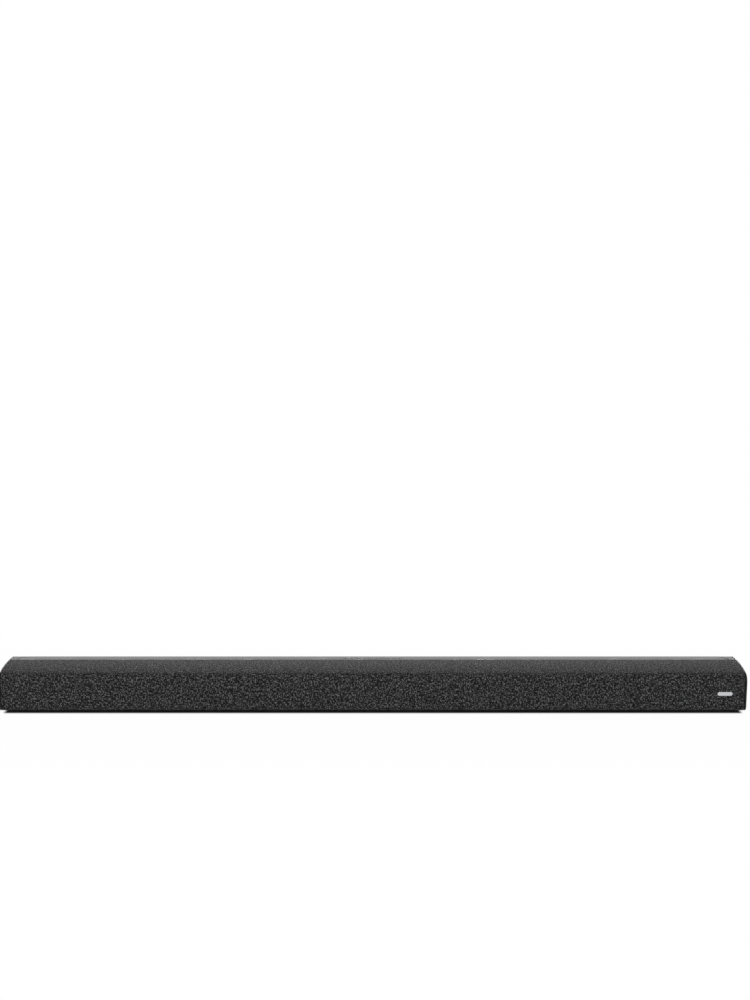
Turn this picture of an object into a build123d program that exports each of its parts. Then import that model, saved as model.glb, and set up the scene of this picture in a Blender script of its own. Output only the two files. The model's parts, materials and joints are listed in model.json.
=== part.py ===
from build123d import *
import os
from math import sqrt

# A slim soundbar: cloth-wrapped front and top, a gloss control strip along the rear of the top,
# a closed cabinet with two oval woofers and two dome tweeters, boards, sockets and wiring.
# Millimetres. The front faces -Y, +X is the viewer's right, Z is up, and the origin is on the
# floor under the middle of the bar.

# Overall size
LENGTH = 900.0
DEPTH = 82.0
HEIGHT = 52.0

# Outer line of the cross-section
CROWN_SETBACK = 38.0         # cloth's front to the highest line of the top
CROWN_FRONT_RADIUS = 195.0
CROWN_REAR_RADIUS = 330.0
EDGE_RADIUS = 11.0           # front to top
LIP_RADIUS = 6.0             # front to underside
REAR_RADIUS = 4.5            # top to rear
SKIRT = 3.8                  # cloth's lower edge above the floor
LIP_DEPTH = 7.5              # cloth and frame turned in under the front

# Fits
FIT = 0.3                    # between pieces put together
TOUCH = 0.1                  # between pieces held tight
PILOT = 0.1                  # screw to its hole, radial

# Cloth and the frame that it is stretched over
CLOTH = 0.8
FRAME = 2.0
FRAME_SLOT = 5.0
FRAME_SLOT_PITCH = 8.0
FRAME_SLOT_HIGH = 28.0
GROOVE = 1.6                 # open groove between the cloth and the control strip

# End caps
CAP = 2.2
CAP_GAP = 0.8
CAP_ROUND = 1.2
CAP_PEG_RADIUS = 2.5
CAP_PEG_RISE = 9.0           # peg centres above and below the middle of the cap
CAP_SPACER = 3.0             # spacer ring round a peg, beyond the peg's radius

# Housing
WALL = 2.5
BASE = 2.5                   # underside above the floor
BASE_WALL = 2.2
BASE_INSET = 8.0             # base's ends short of the bar's ends
SILL = 2.5                   # low rim behind the baffle, above the base's floor
REAR_SEAM = 43.0             # upper edge of the rear panels
REAR_SPLIT_GAP = 33.0        # seams between the rear panels from the chamber walls
REAR_SCREW_END = 25.0        # outer screws of the rear panels from the bar's ends
REAR_SCREW_SEAM = 8.0        # inner ones from the seams between the panels
REAR_SCREW_LOW = 3.3         # screws above the floor and below the seam
REAR_SCREW_HIGH = 5.0
CAVITY_RADIUS = 3.0
PARTITION = 2.0
PARTITION_GAP = 14.0         # partition beside the woofer's flange
KEYHOLE_SPREAD = 600.0
KEYHOLE_HEAD = 4.5           # radius of the round opening
KEYHOLE_SHANK = 2.2          # half width of the slot above it
KEYHOLE_RISE = 8.0
KEYHOLE_POCKET = 9.0         # room behind the rear wall
KEYHOLE_Z = 21.0
KEYHOLE_FLANGE = 2.0         # rim that holds the plate behind its rear panel

# Feet
FOOT_LONG = 34.0
FOOT_WIDE = 11.0
FOOT_POCKET = 0.6
FOOT_END = 62.0              # foot's middle from the bar's end
FOOT_EDGE = 17.0             # foot's middle from the bar's front and rear

# Plain badge on the cloth
BADGE_LONG = 18.0
BADGE_HIGH = 4.6
BADGE_PROUD = 0.4
BADGE_END = 26.5             # badge's middle from the bar's end
BADGE_Z = 26.0

# Control strip and its buttons
PANEL = 2.2
PANEL_SETBACK = 57.0
PANEL_DEPTH = 19.5
PANEL_END = 11.5             # strip's end short of the bar's end
PANEL_CORNER = 19.0
PANEL_SEAM = 1.4             # groove round the strip in its pocket
PANEL_POST_RADIUS = 1.6
PANEL_POST = 3.6
PANEL_POST_END = 42.0        # outer peg from the strip's end
PANEL_POST_SHARE = 0.375     # inner peg's place as a share of the outer one's
BUTTON_PITCH = 15.0
BUTTON_LONG = 12.0
BUTTON_WIDE = 7.0
BUTTON_CORNER = 2.4
BUTTON_PROUD = 0.15
BUTTON_SETBACK = 9.75        # button's middle behind the strip's front
BUTTON_RIM = 1.0             # hidden flange that stops the button
BUTTON_GAP = 0.25
BUTTON_STEM = 1.6
BUTTON_STEM_RADIUS = 1.5
BUTTON_NAMES = ("power", "source", "pairing", "volume_down", "volume_up")
SWITCH = 6.0
SWITCH_HIGH = 3.4
PLUNGER_RADIUS = 1.7
PLUNGER_PROUD = 1.0
PLUNGER_SUNK = 1.2
PLUNGER_ROOM = 1.0           # free depth under the plunger
BOARD = 1.6
BUTTON_BOARD_WIDE = 15.0
STRIP_BOSS_RADIUS = 2.6

# Baffle and drivers
BAFFLE_SETBACK = 11.0
BAFFLE = 3.0
BAFFLE_SCREW_EDGE = 4.0
BOSS = 7.0                   # square bosses for the baffle's and the rear panels' screws
BOSS_LONG = 9.0
BAFFLE_SCREW_CENTRE = 75.0
WOOFER_END = 158.0
TWEETER_END = 62.0
FLANGE = 1.5
FLANGE_LONG = 116.0
FLANGE_HIGH = 38.0
FLANGE_CORNER = 5.0
BOWL_LONG = 102.0            # opening in the flange
BOWL_HIGH = 28.0
BOWL_WALL = 1.2
BOWL_DEPTH = 13.0
BOWL_REAR_LONG = 44.0
SEAT_PLATE = 1.4
ROLL = 2.3                   # surround's outer roll radius
ROLL_SKIN = 0.5
CONE_SKIN = 0.8
CONE_DEPTH = 8.5
CONE_NECK_LONG = 20.0
CONE_NECK_HIGH = 17.0
MOTOR_RADIUS = 14.0
TOP_PLATE = 3.0
MAGNET = 7.0
MAGNET_BORE = 9.5
YOKE = 3.0
POLE_RADIUS = 6.5
COIL_RADIUS = 6.8
COIL_SKIN = 0.45
COIL_GAP = 0.3
COIL_LONG = 11.0
SPIDER_RADIUS = 12.0
SPIDER_SKIN = 0.5
SPIDER_WAVE = 0.8
SPIDER_SEAT = 1.6
TWEETER_FLANGE = 18.0
TWEETER_FLANGE_THICK = 2.0
TWEETER_HUB = 12.4
TWEETER_HUB_LONG = 6.0
TWEETER_BORE = 10.4
TWEETER_CUP_LONG = 10.0
DOME_RADIUS = 8.6
DOME_RISE = 3.2
DOME_SKIN = 0.5
DOME_COIL_LONG = 8.0
TWEETER_SCREW = 15.4
DRIVER_SCREW_EDGE = 6.5

# Screws
SCREW_RADIUS = 1.2
SCREW_HEAD_RADIUS = 2.4
SCREW_HEAD = 1.5
SCREW_LONG = 7.0
SCREW_CROSS = 2.8            # length, width and depth of the cross recess
SCREW_SLOT = 0.6
SCREW_CUT = 0.7

# Rear tray with the sockets
TRAY_LEFT = -80.0
TRAY_RIGHT = 92.0
TRAY_LOW = 9.0
TRAY_HIGH = 33.0
TRAY_DEPTH = 15.0
TRAY_WALL = 1.8
TRAY_CORNER = 1.2
TRAY_BOSS = 3.2
TRAY_BOSS_LONG = 10.0
TRAY_BOSS_RISE = 7.0
SOCKET_PROUD = 0.6
INLET_X = -54.0
USB_X = 6.0
HDMI_X = 31.0
OPTICAL_X = 54.0
AUX_X = 75.0
INLET_SIZE = (23.0, 21.0, 17.0)
INLET_LOBE = 4.3
INLET_WAIST = 6.0
INLET_PIN_RADIUS = 1.2
INLET_CAVITY = 12.0
USB_SIZE = (14.6, 14.0, 7.2)
USB_MOUTH = (12.6, 5.3)
USB_TONGUE = 1.8
HDMI_SIZE = (16.0, 12.0, 7.0)
HDMI_MOUTH = (14.0, 4.8)
HDMI_TONGUE = 1.0
SOCKET_CAVITY = 9.0
OPTICAL_SIZE = (10.6, 13.0, 10.6)
OPTICAL_MOUTH = 8.4
AUX_SIZE = (8.0, 13.0, 8.0)
AUX_BORE = 1.8
AUX_LONG = 12.0

# Boards in the cabinet
STANDOFF = 4.8
STANDOFF_RADIUS = 3.0
MAIN_BOARD_X = (-12.0, 150.0)
POWER_BOARD_X = (-162.0, -24.0)
BOARD_SETBACK = 25.5         # boards' front edge behind the cloth's front
BOARD_SCREW_EDGE = 5.0
BOARD_MARGIN = 1.0           # between a board's edge and what stands near it
SINK_LONG = 46.0
SINK_WIDE = 16.0
SINK_HIGH = 17.0
SINK_FIN = 1.6
SINK_FINS = 6
CHIP_HIGH = 1.6
PROCESSOR = 14.0
PROCESSOR_END = 50.0         # processor's middle from the main board's left end
MEMORY_SIZE = (8.0, 11.0)
BUS_CHIP = 6.0
CHIP_GAP = 7.0
CHIP_FORWARD = 8.0           # processor's middle in front of the boards' middle
PLUG_HIGH = 5.0
MAINS_CAN_RADIUS = 8.0
MAINS_CAN_HIGH = 22.0
MAINS_CAN_END = 24.0         # its middle from the power board's left end
MAINS_CAN_FRONT = 13.0       # its middle from the boards' front edge
SMALL_CANS = 2
SMALL_CAN_RADIUS = 4.0
SMALL_CAN_HIGH = 14.0
SMALL_CAN_PITCH = 12.0
SMALL_CAN_END = 52.0
SMALL_CAN_FRONT = 32.0
AMP_CAN_HIGH = 13.0
AMP_CAN_FRONT = 24.0
WIRELESS_SIZE = (22.0, 15.0, 3.2)
TRANSFORMER_SIZE = (30.0, 24.0, 22.0)
WINDING_LONG = 0.7           # shares of the transformer's length, depth and height
WINDING_DEEP = 0.2
CORE_FLANGE = 0.2
LEAD_RADIUS = 1.3
LEAD_Z = 38.0
LEAD_BEND = 6.0
WOOFER_LEAD_SETBACK = 45.0
TWEETER_LEAD_SETBACK = 50.0
RIBBON_WIDE = 10.0
RIBBON_THICK = 0.6
RIBBON_DROP = 8.0            # ribbon's fall in front of the button board
RIBBON_BEND = 4.0

# Front indicator
INDICATOR_LONG = 66.0
INDICATOR_HIGH = 10.0
INDICATOR_BOARD = 1.2
INDICATOR_Z = 19.0
PIPE_LONG = 46.0
PIPE_HIGH = 4.0
PIPE_SPOTS = 5
PIPE_SPOT_PITCH = 10.0
PIPE_SPOT_RADIUS = 1.2

# Places worked out from the sizes above
HALF = LENGTH / 2
FRONT = BADGE_PROUD - DEPTH / 2
REAR = DEPTH / 2
CROWN_Y = FRONT + CROWN_SETBACK
SHELL_HALF = HALF - CAP - CAP_GAP
SEAT = CLOTH + TOUCH + FRAME + FIT
FLOOR = BASE + BASE_WALL
PANEL_Y = (FRONT + PANEL_SETBACK, FRONT + PANEL_SETBACK + PANEL_DEPTH)
CLOTH_REAR = PANEL_Y[0] - GROOVE
PANEL_HALF = HALF - PANEL_END
BUTTON_Y = PANEL_Y[0] + BUTTON_SETBACK
BAFFLE_Y = (FRONT + BAFFLE_SETBACK, FRONT + BAFFLE_SETBACK + BAFFLE)
RIM = BAFFLE_Y[1] + TOUCH
WOOFER_X = HALF - WOOFER_END
TWEETER_X = HALF - TWEETER_END
CHAMBER_X = WOOFER_X - FLANGE_LONG / 2 - BOSS - PARTITION_GAP
REAR_SPLIT = CHAMBER_X - REAR_SPLIT_GAP
PLATE_Y = (REAR - TRAY_DEPTH - TRAY_WALL, REAR - TRAY_DEPTH)
SOCKET_FACE = PLATE_Y[1] + SOCKET_PROUD
BOARD_Y = (FRONT + BOARD_SETBACK, PLATE_Y[0] - FIT)
BOARD_Z = (FLOOR + STANDOFF, FLOOR + STANDOFF + BOARD)
BASE_HALF = HALF - BASE_INSET
REAR_WALL = REAR - WALL
BOTTOM = (Align.CENTER, Align.CENTER, Align.MIN)
SIDES = {"left": -1, "right": 1}


def block(x, y, z):
    """Box between three pairs of limits."""
    spans = (x, y, z)
    middle = [(low + high) / 2 for low, high in spans]
    size = [high - low for low, high in spans]
    return Pos(*middle) * Box(*size)


def around(middle, size):
    """Pair of limits round a middle."""
    return (middle - size / 2, middle + size / 2)


def rod_x(y, z, radius, x):
    return Pos(x[0], y, z) * Rot(0, 90, 0) * Cylinder(radius, x[1] - x[0], align=BOTTOM)


def rod_y(x, z, radius, y):
    return Pos(x, y[0], z) * Rot(-90, 0, 0) * Cylinder(radius, y[1] - y[0], align=BOTTOM)


def rod_z(x, y, radius, z):
    return Pos(x, y, z[0]) * Cylinder(radius, z[1] - z[0], align=BOTTOM)


def across(x, y, z):
    """Sketch plane that stands across the bar's depth, its normal pointing to the rear."""
    return Plane(origin=(x, y, z), x_dir=(1, 0, 0), z_dir=(0, 1, 0))


def crown(y, inset=0.0):
    """Height of the top's outer line at depth y, set in by inset."""
    radius = CROWN_FRONT_RADIUS if y < CROWN_Y else CROWN_REAR_RADIUS
    return HEIGHT - radius + sqrt((radius - inset) ** 2 - (y - CROWN_Y) ** 2)


def crown_arc(start, end, inset):
    middle = (start + end) / 2
    points = [(y, crown(y, inset)) for y in (start, middle, end)]
    return ThreePointArc(*points)


def rounded(face, corner, radius):
    """The face with its vertex nearest to corner filleted."""
    nearest = face.vertices().sort_by_distance((*corner, 0))[0]
    return fillet(nearest, radius)


def section(inset, rear, low, lip=0.0, rear_radius=0.0):
    """Cross-section inside the outer line set in by inset, back to rear and down to low."""
    front = FRONT + inset
    top_front = (front, crown(front, inset))
    top_rear = (rear, crown(rear, inset))
    outline = Curve() + [
        Line((front, low), top_front),
        crown_arc(front, CROWN_Y, inset),
        crown_arc(CROWN_Y, rear, inset),
        Line(top_rear, (rear, low)),
        Line((rear, low), (front, low)),
    ]
    face = rounded(make_face(outline), top_front, EDGE_RADIUS - inset)
    if lip:
        face = rounded(face, (front, low), lip)
    if rear_radius:
        face = rounded(face, top_rear, rear_radius)
    return face


def area(y, z):
    """Rectangle in the cross-section between two pairs of limits."""
    return Pos((y[0] + y[1]) / 2, (z[0] + z[1]) / 2) * Rectangle(y[1] - y[0], z[1] - z[0])


def along(face, x):
    """A cross-section drawn out along the bar."""
    return Pos(x[0], 0, 0) * extrude(Plane.YZ * face, amount=x[1] - x[0])


def wrap(inset, thickness):
    """Sheet over the front and the top's front part, turned in under the front."""
    outer = section(inset, REAR, SKIRT + inset, LIP_RADIUS - inset)
    within = inset + thickness
    inner = section(within, REAR + WALL, SKIRT + within, LIP_RADIUS - within)
    open_below = area((FRONT + LIP_DEPTH, REAR + WALL), (0, HEIGHT / 2))
    behind = area((CLOTH_REAR, REAR + WALL), (0, HEIGHT + WALL))
    return along(outer - inner - open_below - behind, (-SHELL_HALF, SHELL_HALF))


def panel_plan(grow):
    """Control strip seen from above, with its rear corners rounded off."""
    front = PANEL_Y[0] - grow
    rear = PANEL_Y[1] + grow
    half = PANEL_HALF + grow
    corner = min(PANEL_CORNER, PANEL_DEPTH - FIT) + grow
    plate = Pos(0, (front + rear) / 2) * Rectangle(2 * half, rear - front)
    rear_corners = plate.vertices().group_by(Axis.Y)[-1]
    return fillet(rear_corners, corner)


def strip_slab(depth):
    """Skin of the top's outer line, as deep as the control strip or its pocket."""
    outer = section(0, REAR, SKIRT)
    return outer - section(depth, REAR + WALL, SKIRT - WALL)


def button_places():
    """Name and middle of each button, from the viewer's left."""
    first = -(len(BUTTON_NAMES) - 1) / 2 * BUTTON_PITCH
    return [(name, first + i * BUTTON_PITCH) for i, name in enumerate(BUTTON_NAMES)]


def button_levels():
    """Heights under the strip: button's rim, stem, switch and board."""
    rim_top = crown(BUTTON_Y + BUTTON_WIDE / 2 + BUTTON_RIM, PANEL) - FIT / 2
    stem = rim_top - BUTTON_RIM - BUTTON_STEM
    switch_top = stem - PLUNGER_PROUD
    board_top = switch_top - SWITCH_HIGH
    return rim_top, stem, switch_top, board_top


def strip_bosses():
    """Where the button board hangs from the strip."""
    end_button = (len(BUTTON_NAMES) - 1) / 2 * BUTTON_PITCH + BUTTON_LONG / 2
    reach = end_button + BUTTON_RIM + STRIP_BOSS_RADIUS + FIT
    return (-reach, reach)


def baffle_heights():
    return FLOOR + TOUCH, crown(BAFFLE_Y[0], SEAT) - TOUCH


def driver_height():
    return sum(baffle_heights()) / 2


def baffle_screws():
    """Places across the baffle of the screws that hold it to the housing."""
    low, high = baffle_heights()
    outer = SHELL_HALF - WALL - BOSS
    between = (WOOFER_X + FLANGE_LONG / 2 + TWEETER_X - TWEETER_FLANGE) / 2
    inner = WOOFER_X - FLANGE_LONG / 2 - BOSS
    columns = (outer, between, inner, BAFFLE_SCREW_CENTRE)
    rows = (low + BAFFLE_SCREW_EDGE, high - BAFFLE_SCREW_EDGE)
    return [(side * x, z) for side in SIDES.values() for x in columns for z in rows]


def woofer_screws(x):
    dx = FLANGE_LONG / 2 - DRIVER_SCREW_EDGE / 2
    dz = FLANGE_HIGH / 2 - DRIVER_SCREW_EDGE / 2
    z = driver_height()
    return [(x + i * dx, z + j * dz) for i in (-1, 1) for j in (-1, 1)]


def tweeter_screws(x):
    z = driver_height()
    return [(x, z + j * TWEETER_SCREW) for j in (-1, 1)]


def rear_screws(z):
    """One row of the screws that hold the rear panels."""
    columns = (HALF - REAR_SCREW_END, REAR_SPLIT + REAR_SCREW_SEAM, REAR_SPLIT - REAR_SCREW_SEAM)
    return [(side * x, z) for side in SIDES.values() for x in columns]


def rear_rows():
    """The rear panels' screws: those in the base and those in the roof."""
    return rear_screws(FLOOR + REAR_SCREW_LOW), rear_screws(REAR_SEAM - REAR_SCREW_HIGH)


def tray_screws():
    middle = (TRAY_LOW + TRAY_HIGH) / 2
    reach = TRAY_WALL + TRAY_BOSS / 2
    columns = (TRAY_LEFT - reach, TRAY_RIGHT + reach)
    return [(x, middle + j * TRAY_BOSS_RISE) for x in columns for j in (-1, 1)]


def board_screws(board_x):
    columns = (board_x[0] + BOARD_SCREW_EDGE, board_x[1] - BOARD_SCREW_EDGE)
    rows = (BOARD_Y[0] + BOARD_SCREW_EDGE, BOARD_Y[1] - BOARD_SCREW_EDGE)
    return [(x, y) for x in columns for y in rows]


def feet_places():
    x = HALF - FOOT_END
    rows = (FRONT + FOOT_EDGE, REAR - FOOT_EDGE)
    return [(side * x, y) for side in SIDES.values() for y in rows]


def cap_pegs():
    """Depth and height of the pegs that hold an end cap."""
    middle = (SKIRT + HEIGHT) / 2
    return [(0.0, middle - CAP_PEG_RISE), (0.0, middle + CAP_PEG_RISE)]


# Casing

def grille_cloth():
    x = HALF - BADGE_END
    sheet = wrap(0, CLOTH)
    seat = around(x, BADGE_LONG), (FRONT - CLOTH, FRONT + CLOTH / 2), around(BADGE_Z, BADGE_HIGH)
    return sheet - block(*seat)


def frame_slots():
    """Middles of the slots that let the sound out through the frame."""
    woofer = int(BOWL_LONG / 2 / FRAME_SLOT_PITCH)
    tweeter = int(TWEETER_BORE / FRAME_SLOT_PITCH)
    groups = ((WOOFER_X, woofer), (TWEETER_X, tweeter))
    return [
        side * (x + i * FRAME_SLOT_PITCH)
        for side in SIDES.values()
        for x, count in groups
        for i in range(-count, count + 1)
    ]


def grille_frame():
    front = (FRONT, FRONT + SEAT)
    slot = across(0, front[0], driver_height()) * SlotOverall(FRAME_SLOT_HIGH, FRAME_SLOT, 90)
    cutter = extrude(slot, amount=front[1] - front[0])
    slots = [Pos(x, 0, 0) * cutter for x in frame_slots()]
    spots = [rod_y(x, INDICATOR_Z, PIPE_SPOT_RADIUS, front) for x in pipe_spots()]
    return wrap(CLOTH + TOUCH, FRAME) - slots - spots


def front_badge():
    x = HALF - BADGE_END
    face = across(x, FRONT - BADGE_PROUD, BADGE_Z) * SlotOverall(BADGE_LONG, BADGE_HIGH)
    plate = extrude(face, amount=BADGE_PROUD + CLOTH / 2)
    rim = plate.faces().sort_by(Axis.Y)[0].edges()
    return fillet(rim, BADGE_PROUD / 2)


def roof_outline():
    """Cross-section of the roof: stepped in under the frame, flush with the top behind it."""
    low = FLOOR + TOUCH
    under_frame = section(SEAT, REAR, low) & area((RIM, PANEL_Y[0]), (0, HEIGHT))
    flush = section(0, REAR, low, rear_radius=REAR_RADIUS)
    flush = flush & area((PANEL_Y[0], REAR + WALL), (0, HEIGHT + WALL))
    rear_panel_room = area((REAR_WALL - TOUCH, REAR + WALL), (0, REAR_SEAM))
    return under_frame + flush - rear_panel_room


def cavity(grow=0.0):
    return section(SEAT + WALL - grow, REAR_WALL + grow, FLOOR - grow, rear_radius=CAVITY_RADIUS)


def front_boss(x, z, grow=0.0):
    """Boss for a screw of the baffle, from the base or from the roof."""
    half = BOSS / 2 + grow
    span = (FLOOR, z + half) if z < driver_height() else (z - half, HEIGHT)
    return block(around(x, 2 * half), (RIM, RIM + BOSS_LONG + grow), span)


def rear_boss(x, z):
    half = BOSS / 2
    span = (FLOOR, z + half) if z < driver_height() else (z - half, HEIGHT)
    return block(around(x, BOSS), (REAR_WALL - TOUCH - BOSS_LONG, REAR_WALL - TOUCH), span)


def boss_pilots():
    pilot = SCREW_RADIUS + PILOT
    low, high = rear_rows()
    front = [rod_y(x, z, pilot, (RIM, RIM + BOSS_LONG)) for x, z in baffle_screws()]
    rear = [rod_y(x, z, pilot, (REAR_WALL - BOSS_LONG, REAR_WALL)) for x, z in low + high]
    return front + rear


def low_screws():
    return [place for place in baffle_screws() if place[1] < driver_height()]


def high_screws():
    return [place for place in baffle_screws() if place[1] > driver_height()]


def wall_face():
    """Cross-section of a wall that fits the cabinet inside."""
    return cavity(-TOUCH) & area((RIM, REAR), (0, HEIGHT))


def end_wall(side):
    """End of the cabinet, with a flange that lies on the base's end."""
    span = (SHELL_HALF - WALL, SHELL_HALF)
    z = (FLOOR + TOUCH, FLOOR + TOUCH + BASE_WALL)
    flange = block((BASE_HALF - WALL, SHELL_HALF), (RIM, REAR_WALL - TOUCH), z)
    flange = flange - [front_boss(x, screw_z, FIT) for x, screw_z in low_screws()]
    wall = along(wall_face(), span) + flange
    wall = wall - [rod_x(y, peg_z, CAP_PEG_RADIUS + TOUCH, span) for y, peg_z in cap_pegs()]
    return wall if side > 0 else mirror(wall, about=Plane.YZ)


def chamber_walls():
    """Walls that close off the woofers' chambers, with holes for the leads."""
    lead_y = (FRONT + WOOFER_LEAD_SETBACK, FRONT + TWEETER_LEAD_SETBACK)
    face = wall_face() - area((RIM, RIM + WALL + TOUCH), (0, FLOOR + SILL + TOUCH))
    walls = []
    for side in SIDES.values():
        span = around(side * CHAMBER_X, PARTITION)
        holes = [rod_x(y, LEAD_Z, LEAD_RADIUS + FIT, span) for y in lead_y]
        walls.append(along(face, span) - holes)
    return walls


def keyhole_limits(side, grow=0.0):
    """Width and height of the plate that a wall screw hooks into."""
    half = KEYHOLE_HEAD + WALL + grow
    x = around(side * KEYHOLE_SPREAD / 2, 2 * half)
    return x, (KEYHOLE_Z - half, KEYHOLE_Z + KEYHOLE_RISE + half)


def keyhole_plate(side):
    """Cup let into a rear panel: a round hole with a slot above it, and room behind for the head."""
    x, z = keyhole_limits(side)
    wide_x, wide_z = keyhole_limits(side, KEYHOLE_FLANGE)
    behind = REAR_WALL - TOUCH
    cup = block(x, (REAR_WALL - KEYHOLE_POCKET, REAR), z) + block(wide_x, (behind - WALL, behind), wide_z)
    y = (REAR_WALL, REAR)
    room_y = (REAR_WALL - KEYHOLE_POCKET + WALL / 2, REAR_WALL)
    middle = side * KEYHOLE_SPREAD / 2
    top = KEYHOLE_Z + KEYHOLE_RISE
    head = rod_y(middle, KEYHOLE_Z, KEYHOLE_HEAD, y)
    slot = block(around(middle, 2 * KEYHOLE_SHANK), y, (KEYHOLE_Z, top))
    end = rod_y(middle, top, KEYHOLE_SHANK, y)
    room = block(around(middle, 2 * KEYHOLE_HEAD), room_y, (KEYHOLE_Z - KEYHOLE_HEAD, top + KEYHOLE_HEAD))
    return cup - [head, slot, end, room]


def standoffs():
    places = board_screws(MAIN_BOARD_X) + board_screws(POWER_BOARD_X)
    return [rod_z(x, y, STANDOFF_RADIUS, (FLOOR, BOARD_Z[0])) for x, y in places]


def button_window():
    """Opening under the strip for the buttons' stems, the switches and the bosses."""
    left, right = strip_bosses()
    reach = STRIP_BOSS_RADIUS + FIT
    half = BUTTON_WIDE / 2 + BUTTON_RIM + FIT
    floor = crown(REAR, SEAT + WALL) - WALL
    return block((left - reach, right + reach), around(BUTTON_Y, 2 * half), (floor, HEIGHT))


def panel_posts():
    """Pegs under the strip that find it in its pocket."""
    outer = PANEL_HALF - PANEL_POST_END
    places = (outer, outer * PANEL_POST_SHARE)
    return [side * x for side in SIDES.values() for x in places]


def tray_mouth(y):
    face = across((TRAY_LEFT + TRAY_RIGHT) / 2, y[0], (TRAY_LOW + TRAY_HIGH) / 2)
    mouth = RectangleRounded(TRAY_RIGHT - TRAY_LEFT, TRAY_HIGH - TRAY_LOW, TRAY_CORNER)
    return extrude(face * mouth, amount=y[1] - y[0])


def housing_roof():
    """Roof of the cabinet with the polished rim round the control strip."""
    full = (-SHELL_HALF, SHELL_HALF)
    outer = along(roof_outline(), full)
    bosses = [front_boss(x, z) for x, z in high_screws()]
    bosses += [rear_boss(x, z) for x, z in rear_rows()[1]]
    roof = (outer - along(cavity(), full) + bosses) & outer
    pocket = along(strip_slab(PANEL + FIT), full) & extrude(panel_plan(PANEL_SEAM), amount=HEIGHT)
    post_holes = [
        rod_z(x, BUTTON_Y, PANEL_POST_RADIUS + TOUCH, (HEIGHT - SEAT - 2 * WALL - PANEL, HEIGHT))
        for x in panel_posts()
    ]
    return roof - [pocket, button_window(), *post_holes, *boss_pilots()]


def base_plate():
    """Floor of the cabinet, short of the bar's ends, with the boards' standoffs."""
    front = FRONT + LIP_DEPTH + FIT
    plate = block((-BASE_HALF, BASE_HALF), (front, REAR), (BASE, FLOOR))
    sill_half = BASE_HALF - WALL - FIT
    sill = block((-sill_half, sill_half), (RIM, RIM + WALL), (FLOOR, FLOOR + SILL))
    bosses = [front_boss(x, z) for x, z in low_screws()]
    bosses += [rear_boss(x, z) for x, z in rear_rows()[0]]
    places = board_screws(MAIN_BOARD_X) + board_screws(POWER_BOARD_X)
    pilot_z = (BASE + BASE_WALL / 2, BOARD_Z[0])
    pilots = [rod_z(x, y, SCREW_RADIUS + PILOT, pilot_z) for x, y in places]
    pockets = [foot(x, y, (BASE, BASE + FOOT_POCKET), TOUCH) for x, y in feet_places()]
    return plate + [sill, *bosses, *standoffs()] - pilots - pockets - boss_pilots()


def rear_panels():
    """Flat rear wall: a middle panel with the tray's mouth between two with a keyhole plate's window."""
    y = (REAR_WALL, REAR)
    edges = (-SHELL_HALF, -REAR_SPLIT, REAR_SPLIT, SHELL_HALF)
    height = (FLOOR + TOUCH, REAR_SEAM - TOUCH)
    low, high = rear_rows()
    places = tray_screws() + low + high
    holes = [rod_y(x, z, SCREW_RADIUS + PILOT, y) for x, z in places]
    sinks = [rod_y(x, z, SCREW_HEAD_RADIUS + FIT, (REAR - SCREW_HEAD, REAR)) for x, z in places]
    windows = []
    for side in SIDES.values():
        x, z = keyhole_limits(side, TOUCH)
        windows.append(block(x, y, z))
    cuts = [tray_mouth(y), *windows, *holes, *sinks]
    return [block((start + TOUCH, end - TOUCH), y, height) - cuts for start, end in zip(edges, edges[1:])]


def top_panel():
    plan = extrude(panel_plan(0), amount=HEIGHT)
    plate = along(strip_slab(PANEL), (-PANEL_HALF, PANEL_HALF)) & plan
    under = crown(BUTTON_Y, PANEL)
    _, _, _, board_top = button_levels()
    bosses = [
        rod_z(x, BUTTON_Y, STRIP_BOSS_RADIUS, (board_top, under + PANEL / 2))
        for x in strip_bosses()
    ]
    posts = [
        rod_z(x, BUTTON_Y, PANEL_POST_RADIUS, (under - PANEL_POST, under + PANEL / 2))
        for x in panel_posts()
    ]
    hole = RectangleRounded(
        BUTTON_LONG + 2 * BUTTON_GAP, BUTTON_WIDE + 2 * BUTTON_GAP, BUTTON_CORNER + BUTTON_GAP
    )
    holes = [extrude(Pos(x, BUTTON_Y) * hole, amount=HEIGHT) for _, x in button_places()]
    pilots = [
        rod_z(x, BUTTON_Y, SCREW_RADIUS + PILOT, (board_top, under)) for x in strip_bosses()
    ]
    return plate + bosses + posts - holes - pilots


def end_cap(side):
    face = section(0, REAR, SKIRT, LIP_RADIUS, REAR_RADIUS)
    plate = along(face, (HALF - CAP, HALF))
    outer_face = plate.faces().sort_by(Axis.X)[-1]
    plate = fillet(outer_face.edges(), CAP_ROUND)
    inner = HALF - CAP
    pegs = [
        rod_x(y, z, CAP_PEG_RADIUS, (SHELL_HALF - WALL, inner + CAP / 2)) for y, z in cap_pegs()
    ]
    spacers = [
        rod_x(y, z, CAP_PEG_RADIUS + CAP_SPACER, (SHELL_HALF + TOUCH, inner + CAP / 2))
        for y, z in cap_pegs()
    ]
    cap = plate + pegs + spacers
    return cap if side > 0 else mirror(cap, about=Plane.YZ)


def foot(x, y, z, grow=0.0):
    plan = Pos(x, y, z[0]) * SlotOverall(FOOT_LONG + 2 * grow, FOOT_WIDE + 2 * grow)
    return extrude(plan, amount=z[1] - z[0])


def rubber_feet():
    return [foot(x, y, (0, BASE + FOOT_POCKET)) for x, y in feet_places()]


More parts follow.
